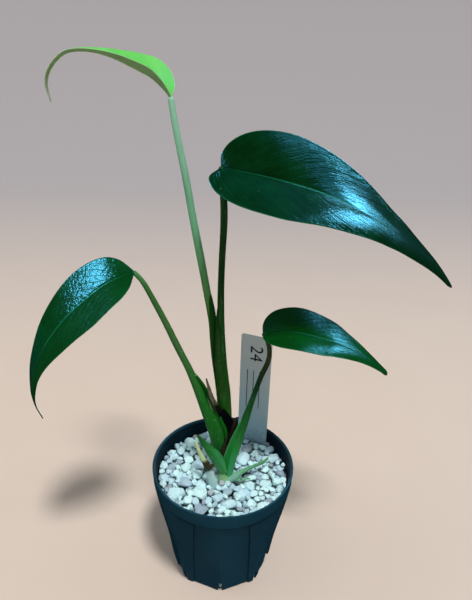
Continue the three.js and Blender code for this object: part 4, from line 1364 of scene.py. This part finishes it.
def aerial_root():
    """The root that leaves the crown in front and lies over the pumice, with a short side root."""
    skin = Skin()
    path = [[3.7, -9.8, 78.6], [8.2, -10, 82.2], [11.3, -9.5, 84.6], [14.8, -8, 85.6], [20.3, -4, 85.2],
            [25.6, 0, 84.4], [28.9, 3, 85.0]]
    add_rod(skin, path, [2.2, 2.3, 1.6, 1.15, 1.0, 0.95, 0.7], around=24, pitch=0.7,
            bumps=waver(0.12, 12, 31))
    side_path = [[8.0, -10.8, 80.2], [11.5, -11.2, 80.0], [14.6, -10.4, 80.4], [16.8, -9.6, 79.4]]
    add_rod(skin, side_path, [1.3, 1.0, 0.8, 0.5], around=20, pitch=0.7, bumps=waver(0.12, 8, 33),
            span=(0.25, 0.35))
    stops = [(0.0, (0.26, 0.52, 0.40)), (0.22, (0.22, 0.50, 0.36)), (0.36, (0.12, 0.38, 0.18)),
             (0.8, (0.07, 0.28, 0.10)), (1.0, (0.12, 0.30, 0.10))]
    root = skin.make("aerial_root_skin", stalk_skin("aerial_root_green", stops, shine=0.42))
    settle(root, "aerial_root", "aerial_root")


def cut_stub():
    """The green foot of a removed leaf: a folded sheath that narrows to a cut end."""
    path = [[1.0, -8.8, 84.6], [-1.3, -8.6, 89.7], [-4.5, -8, 95.7], [-8.9, -6.8, 101],
            [-12.7, -5.8, 105.6], [-15.9, -5, 110.2]]
    uneven = waver(0.08, 8, 41)

    def bumps(share, angles):
        fold = np.exp(-(((angles - 0.6 * math.pi) / 0.45) ** 2)) * (1 - smooth_step(0.45, 0.7, share))
        return uneven(share, angles) * (1 - 0.22 * fold)

    skin = Skin()
    add_rod(skin, path, [3.1, 3.5, 3.7, 2.8, 1.7, 0.9], flat=0.72, pitch=0.6, ends=(0.2, 0.35), bumps=bumps)
    stops = [(0.0, (0.05, 0.32, 0.08)), (0.3, (0.030, 0.26, 0.08)), (0.6, (0.012, 0.17, 0.03)),
             (0.93, (0.006, 0.11, 0.012)), (1.0, (0.03, 0.10, 0.02))]
    stub = skin.make("cut_stub_skin", stalk_skin("cut_stub_green", stops, shine=0.4))
    settle(stub, "stub", "cut_petiole_stub")


def old_stub():
    """The oldest sheath: pale and glassy below, torn and brown at its bend, yellow at its tip."""
    path = [[-5.2, -11.8, 68], [-5.9, -11.5, 76], [-7.5, -11, 83], [-9.7, -10.4, 90], [-12.9, -9.6, 96.2],
            [-15.2, -9, 102], [-16.9, -8.4, 108]]
    skin = Skin()
    add_rod(skin, path, [2.7, 3.0, 2.8, 2.3, 1.7, 1.25, 0.9], flat=0.7, pitch=0.6, ends=(0.2, 0.4),
            bumps=waver(0.16, 12, 43))
    torn = [[-10.2, -11.4, 87], [-9.2, -12.3, 90.4], [-7.4, -12.8, 92.6], [-5.4, -12.6, 93.4]]
    add_rod(skin, torn, [1.8, 2.2, 1.7, 0.6], flat=0.32, pitch=0.4, around=28, bumps=waver(0.35, 6, 45),
            span=(0.58, 0.64))
    stops = [(0.0, (0.46, 0.72, 0.74)), (0.44, (0.46, 0.70, 0.68)), (0.52, (0.22, 0.28, 0.16)),
             (0.57, (0.02, 0.028, 0.010)), (0.63, (0.05, 0.04, 0.012)), (0.68, (0.48, 0.64, 0.34)),
             (1.0, (0.52, 0.70, 0.38))]
    pale = stalk_skin("old_stub_pale", stops, shine=0.5, blotch=(0.2, 0.16, 0.08))
    settle(skin.make("old_stub_skin", pale), "old_stub", "old_sheath_stub")


def add_strip(skin, path, widths, thick, cup, wrinkle, seed, columns=22, reach=1.0):
    """
    Adds a thin cupped strip with wrinkled, uneven margins to a skin. Its places along the piece run from 0
    to reach.
    """
    line = Line(path)
    share = np.linspace(0, 1, int(line.length / 0.6))
    place, _, wide, deep = line.frame(share)
    v = np.linspace(-1, 1, columns)
    half = swell(widths, share)[:, None] * (1 + 0.10 * np.sign(v) * np.abs(v) ** 3)
    length = share[:, None] * line.length
    points = np.stack(np.broadcast_arrays(v[None] * 2.2, length * 0.35, seed * 1.0), -1)
    crease = rough(points, 1.0, seed) * wrinkle
    ragged = 1 + 0.10 * rough(points * np.array([0.3, 3, 1]), 1.0, seed + 2)
    side = v[None] * half * ragged
    depth = cup * half * v[None] ** 2 + crease
    sheet = place[:, None] + wide[:, None] * side[..., None] + deep[:, None] * depth[..., None]
    lift = deep[:, None] * (thick / 2 * (1 - np.abs(v) ** 8 * 0.7))[None, :, None]
    skin.add_tube(np.concatenate([sheet + lift, (sheet - lift)[:, ::-1]], axis=1), share * reach)


def dried_pieces():
    """The blackened sheath between the stalks, with its long papery tip, and the small curl beside it."""
    skin = Skin()
    path = [[3.0, -2.6, 97], [3.3, -1.6, 102], [3.0, -0.3, 111.4], [0.4, 0.4, 120], [-4.2, -0.3, 128.4],
            [-7.3, -1.4, 136.1], [-9.1, -1.8, 142.6], [-11.0, -2, 150.6]]
    add_strip(skin, path, [2.6, 2.9, 3.1, 2.7, 1.8, 1.3, 1.0, 0.4], 0.5, 0.42, 0.5, 51)
    inner = [[1.6, -0.6, 100], [1.2, 0.2, 110], [0.4, 0.8, 119], [-1.4, 1.2, 126]]
    add_strip(skin, inner, [4.6, 5.2, 4.4, 1.2], 0.5, 0.3, 0.4, 53, reach=0.4)
    stops = [(0.0, (0.06, 0.045, 0.012)), (0.10, (0.05, 0.035, 0.010)), (0.16, (0.002, 0.003, 0.004)),
             (0.52, (0.001, 0.002, 0.003)), (0.62, (0.02, 0.018, 0.012)), (0.72, (0.17, 0.16, 0.11)),
             (0.94, (0.14, 0.13, 0.08)), (1.0, (0.03, 0.03, 0.02))]
    dead = dried_skin("dried_sheath_skin", stops)
    settle(skin.make("dried_sheath_strip", dead, sharp=60), "dried", "dried_sheath")
    curl = Skin()
    path = [[2.7, -4.8, 105.7], [4.4, -4.6, 112], [5.7, -4.2, 118], [6.8, -4, 122.4], [7.9, -4.1, 124.2],
            [8.7, -4.3, 123.0]]
    add_strip(curl, path, [0.9, 1.0, 0.95, 0.8, 0.6, 0.3], 0.45, 0.6, 0.25, 57, columns=14)
    stops = [(0.0, (0.006, 0.005, 0.004)), (0.6, (0.020, 0.014, 0.006)), (1.0, (0.05, 0.035, 0.012))]
    dead = dried_skin("dried_curl_skin", stops)
    settle(curl.make("dried_curl_strip", dead, sharp=60), "dried", "dried_curl")


ROOT_PATHS = [
    [[1.5, -8, 70], [2, -14, 62], [4, -21, 50], [8, -25, 32], [6, -25, 14]],
    [[1.5, -2, 70], [0, 5, 62], [-6, 14, 50], [-10, 21, 32], [-6, 24, 13]],
    [[-2, -5, 70], [-8, -6, 62], [-17, -9, 50], [-23, -9, 32], [-21, -3, 13]],
    [[5, -5, 70], [11, -5, 62], [19, -4, 50], [24, 1, 32], [21, 6, 13]],
    [[1.5, -5, 66], [1, -4, 50], [-2, 0, 36], [2, 4, 22], [6, 2, 9]],
]


def buried_roots():
    """Thick pale roots that run down through the pumice."""
    stops = [(0.0, (0.50, 0.46, 0.30)), (0.7, (0.62, 0.58, 0.44)), (1.0, (0.70, 0.68, 0.58))]
    pale = stalk_skin("buried_root_skin", stops, shine=0.6)
    for number, path in enumerate(ROOT_PATHS, 1):
        skin = Skin()
        uneven = waver(0.14, 16, 60 + number)
        add_rod(skin, path, [1.7, 1.6, 1.4, 1.2, 0.7], around=20, pitch=1.0, bumps=uneven)
        settle(skin.make(f"buried_root_{number}", pale), "root", f"root_{number}")


# Label

def label_frame():
    """The matrix that stands a flat drawing of the label up in its place."""
    turn = Matrix.Rotation(math.radians(LABEL["turn"]), 4, "Z")
    stand = Matrix.Rotation(math.radians(90), 4, "X")
    return Matrix.Translation((LABEL["x"] * MM, LABEL["y"] * MM, 0)) @ turn @ stand


def label_outline():
    """The label's outline, with round upper corners and a point below, as (across, height) pairs."""
    half, top, low = LABEL["width"] / 2, LABEL["top"], LABEL["top"] - LABEL["length"]
    corner = 1.6
    outline = [(-2, low), (2, low), (half, low + LABEL["point"])]
    for middle, start in ((half - corner, 0), (corner - half, math.pi / 2)):
        for turn in np.linspace(start, start + math.pi / 2, 7):
            outline.append((middle + corner * math.cos(turn), top - corner + corner * math.sin(turn)))
    outline.append((-half, low + LABEL["point"]))
    return outline


def flat_body(name, outline, depth, material, bevel=0.0):
    """A flat plate of an outline in millimetres, drawn in X and Y and as deep as depth in Z."""
    work = bmesh.new()
    ring = [work.verts.new((x * MM, y * MM, -depth / 2 * MM)) for x, y in outline]
    plate = work.faces.new(ring)
    grown = bmesh.ops.extrude_face_region(work, geom=[plate])
    moved = [v for v in grown["geom"] if isinstance(v, bmesh.types.BMVert)]
    bmesh.ops.translate(work, verts=moved, vec=(0, 0, depth * MM))
    bmesh.ops.recalc_face_normals(work, faces=work.faces)
    if bevel:
        edges = [e for e in work.edges if e.calc_face_angle(0) > 1.2]
        bmesh.ops.bevel(work, geom=edges, offset=bevel * MM, segments=3, affect="EDGES", profile=0.5)
    mesh = bpy.data.meshes.new(name)
    work.to_mesh(mesh)
    work.free()
    smooth(mesh, 40)
    return place_object(name, mesh, material)


RULES = {"across": (-5.4, -1.2, 3.0), "low": 104, "high": 134, "width": 0.5}
NUMBER = {"text": "24", "size": 12, "height": 147}
INK_DEPTH = 0.06


def label_marks(ink):
    """A plain number and ruled lines, printed along the label."""
    marks = []
    low, high = RULES["low"], RULES["high"]
    for left in RULES["across"]:
        right = left + RULES["width"]
        outline = [(left, low), (right, low), (right, high), (left, high)]
        marks.append(flat_body("rule", outline, INK_DEPTH, ink))
    letters = bpy.data.curves.new("number", "FONT")
    letters.body = NUMBER["text"]
    letters.size = NUMBER["size"] * MM
    letters.extrude = INK_DEPTH / 2 * MM
    letters.align_x = "CENTER"
    letters.align_y = "CENTER"
    holder = place_object("number", letters)
    graph = bpy.context.evaluated_depsgraph_get()
    number = place_object("number_mesh", bpy.data.meshes.new_from_object(holder.evaluated_get(graph)))
    bpy.data.objects.remove(holder)
    lengthways = Matrix.Rotation(math.radians(-90), 4, "Z")
    number.data.transform(Matrix.Translation((0, NUMBER["height"] * MM, 0)) @ lengthways)
    number.data.materials.clear()
    number.data.materials.append(ink)
    marks.append(number)
    for mark in marks:
        mark.data.transform(Matrix.Translation((0, 0, (LABEL["thick"] / 2 + 0.01) * MM)))
    bpy.context.view_layer.update()
    with bpy.context.temp_override(active_object=marks[0], selected_editable_objects=marks):
        bpy.ops.object.join()
    marks[0].name = "label_print"
    return marks[0]


def label():
    """The plant label behind the leaves."""
    stand = label_frame()
    strip = flat_body("label_strip", label_outline(), LABEL["thick"], label_plastic(), bevel=0.18)
    strip.data.transform(stand)
    settle(strip, "label", "plant_label")
    print_marks = label_marks(printed_ink())
    print_marks.data.transform(stand)
    settle(print_marks, "label")


# Stage, light and camera

CAMERA_PLACE = (-0.55, -280.81, 352.75)
CAMERA_PITCH = 28.206
CAMERA_ROLL = 1.794
CAMERA_YAW = 1.132
FOCAL_PIXELS = 583.5
PHOTO_HEIGHT = 600
SENSOR = 36.0
WINDOW_DISTANCE = 1.1
COOL = (0.17, 0.68, 1.0)

# The direction of each window, its size, its power, its colour and the place that it is aimed at.

WINDOWS = {
    "window_right": [(0.60, 0.40, 0.69), (0.34, 0.24), 11.0, COOL, (65, -5, 235)],
    "window_left": [(-0.74, -0.02, 0.67), (0.28, 0.42), 11.0, COOL, (-75, 0, 210)],
    "window_low": [(0.641, 0.619, 0.454), (0.3, 0.2), 1.0, COOL, (60, -5, 180)],
    "window_top": [(0.406, 0.028, 0.914), (0.2, 0.2), 0.6, COOL, (60, -5, 180)],
    "panel_back": [(0.20, 0.28, 0.94), (0.9, 0.7), 0.55, (0.02, 0.55, 0.66), (50, 0, 240)],
    "panel_side": [(0.558, 0.029, 0.829), (0.18, 0.10), 0.25, (0.03, 0.55, 0.9), (50, 0, 240)],
}


def camera():
    """The photograph's viewpoint, worked out from the pot's rim and foot."""
    pitch, roll, yaw = (math.radians(a) for a in (CAMERA_PITCH, CAMERA_ROLL, CAMERA_YAW))
    ahead = Vector((math.sin(yaw) * math.cos(pitch), math.cos(yaw) * math.cos(pitch), -math.sin(pitch)))
    level = Vector((math.cos(yaw), -math.sin(yaw), 0))
    upright = level.cross(ahead)
    right = math.cos(roll) * level + math.sin(roll) * upright
    up = -math.sin(roll) * level + math.cos(roll) * upright
    data = bpy.data.cameras.new("camera")
    data.sensor_width = SENSOR
    data.lens = SENSOR * FOCAL_PIXELS / PHOTO_HEIGHT
    data.clip_start = 0.01
    made = place_object("camera", data)
    turned = Matrix((right, up, -ahead)).transposed()
    made.matrix_world = Matrix.Translation(Vector(CAMERA_PLACE) * MM) @ turned.to_4x4()
    bpy.context.scene.camera = made


def floor():
    """A plain pale floor, warm in front and greyer far away."""
    paint = Paint("pale_floor", specular_ior_level=0.2)
    where = paint.place()
    cloud = paint.noise(where, 60, 3)
    depth = paint.axis(where, 1)
    warm = paint.mix((0.64, 0.535, 0.455), (0.67, 0.57, 0.49), cloud)
    base = paint.mix(warm, (0.41, 0.385, 0.395), depth.step(100, 900))
    material = paint.finish(base_color=base, roughness=0.6 + 0.1 * cloud)
    mesh = bpy.data.meshes.new("floor")
    reach = 90.0
    corners = [(-reach, -reach, 0), (reach, -reach, 0), (reach, reach, 0), (-reach, reach, 0)]
    mesh.from_pydata(corners, [], [(0, 1, 2, 3)])
    made = place_object("floor", mesh, material)
    made.location.z = -0.2 * MM
    made.visible_glossy = False


def add_light(name, kind, direction, power, colour):
    """A light that comes from a direction."""
    data = bpy.data.lights.new(name, kind)
    data.energy = power
    data.color = colour
    made = place_object(name, data)
    made.rotation_mode = "QUATERNION"
    made.rotation_quaternion = Vector(direction).to_track_quat("Z", "Y")
    return made


def daylight(name, direction, power, spread):
    """Even light that colours the plant but leaves no highlight."""
    made = add_light(name, "SUN", direction, power, (1.0, 0.98, 0.96))
    made.data.angle = math.radians(spread)
    made.visible_glossy = False


def window(name, direction, size, power, colour, aim):
    """A window, its size in metres, aimed at a place in millimetres, that only shows as a highlight."""
    made = add_light(name, "AREA", direction, power, colour)
    made.data.shape = "RECTANGLE"
    made.data.size, made.data.size_y = size
    made.location = Vector(aim) * MM + Vector(direction).normalized() * WINDOW_DISTANCE
    made.visible_diffuse = False


def lights():
    """Soft studio light: even daylight, and cool windows that the glossy skins mirror."""
    world = bpy.data.worlds.new("studio")
    bpy.context.scene.world = world
    world.use_nodes = True
    studio = Board(world.node_tree)
    backdrop = studio.node("LightPath", out=0)
    gloss = studio.node("LightPath", out=3)
    facing = studio.node("TexCoord", out=0)
    below = 1 - studio.axis(facing, 2).step(-0.12, 0.0)
    ahead = 1 - (studio.axis(facing, 0) - 0.05).size().step(0.06, 0.36)
    sheen = gloss * (0.012 + below * (0.05 + 0.16 * ahead))
    seen = (1 - gloss) * (0.31 + 0.11 * backdrop)
    background = studio.tree.nodes["Background"]
    studio.join(background.inputs["Color"], studio.mix((0.97, 0.98, 1.0), (0.04, 0.62, 1.0), gloss))
    studio.join(background.inputs["Strength"], sheen + seen)
    daylight("day_key", (0.147, -0.33, 1.0), 2.45, 9)
    daylight("day_left", (-0.72, 0.02, 0.68), 0.3, 40)
    for name, setting in WINDOWS.items():
        window(name, *setting)
    bpy.context.scene.view_settings.view_transform = "Standard"


# Assembly

camera()
floor()
lights()
moulded_pot()
pumice()
crown()
stalk_a()
stalk_b()
stalk_c()
stalk_d()
blades()
aerial_root()
cut_stub()
old_stub()
dried_pieces()
buried_roots()
label()
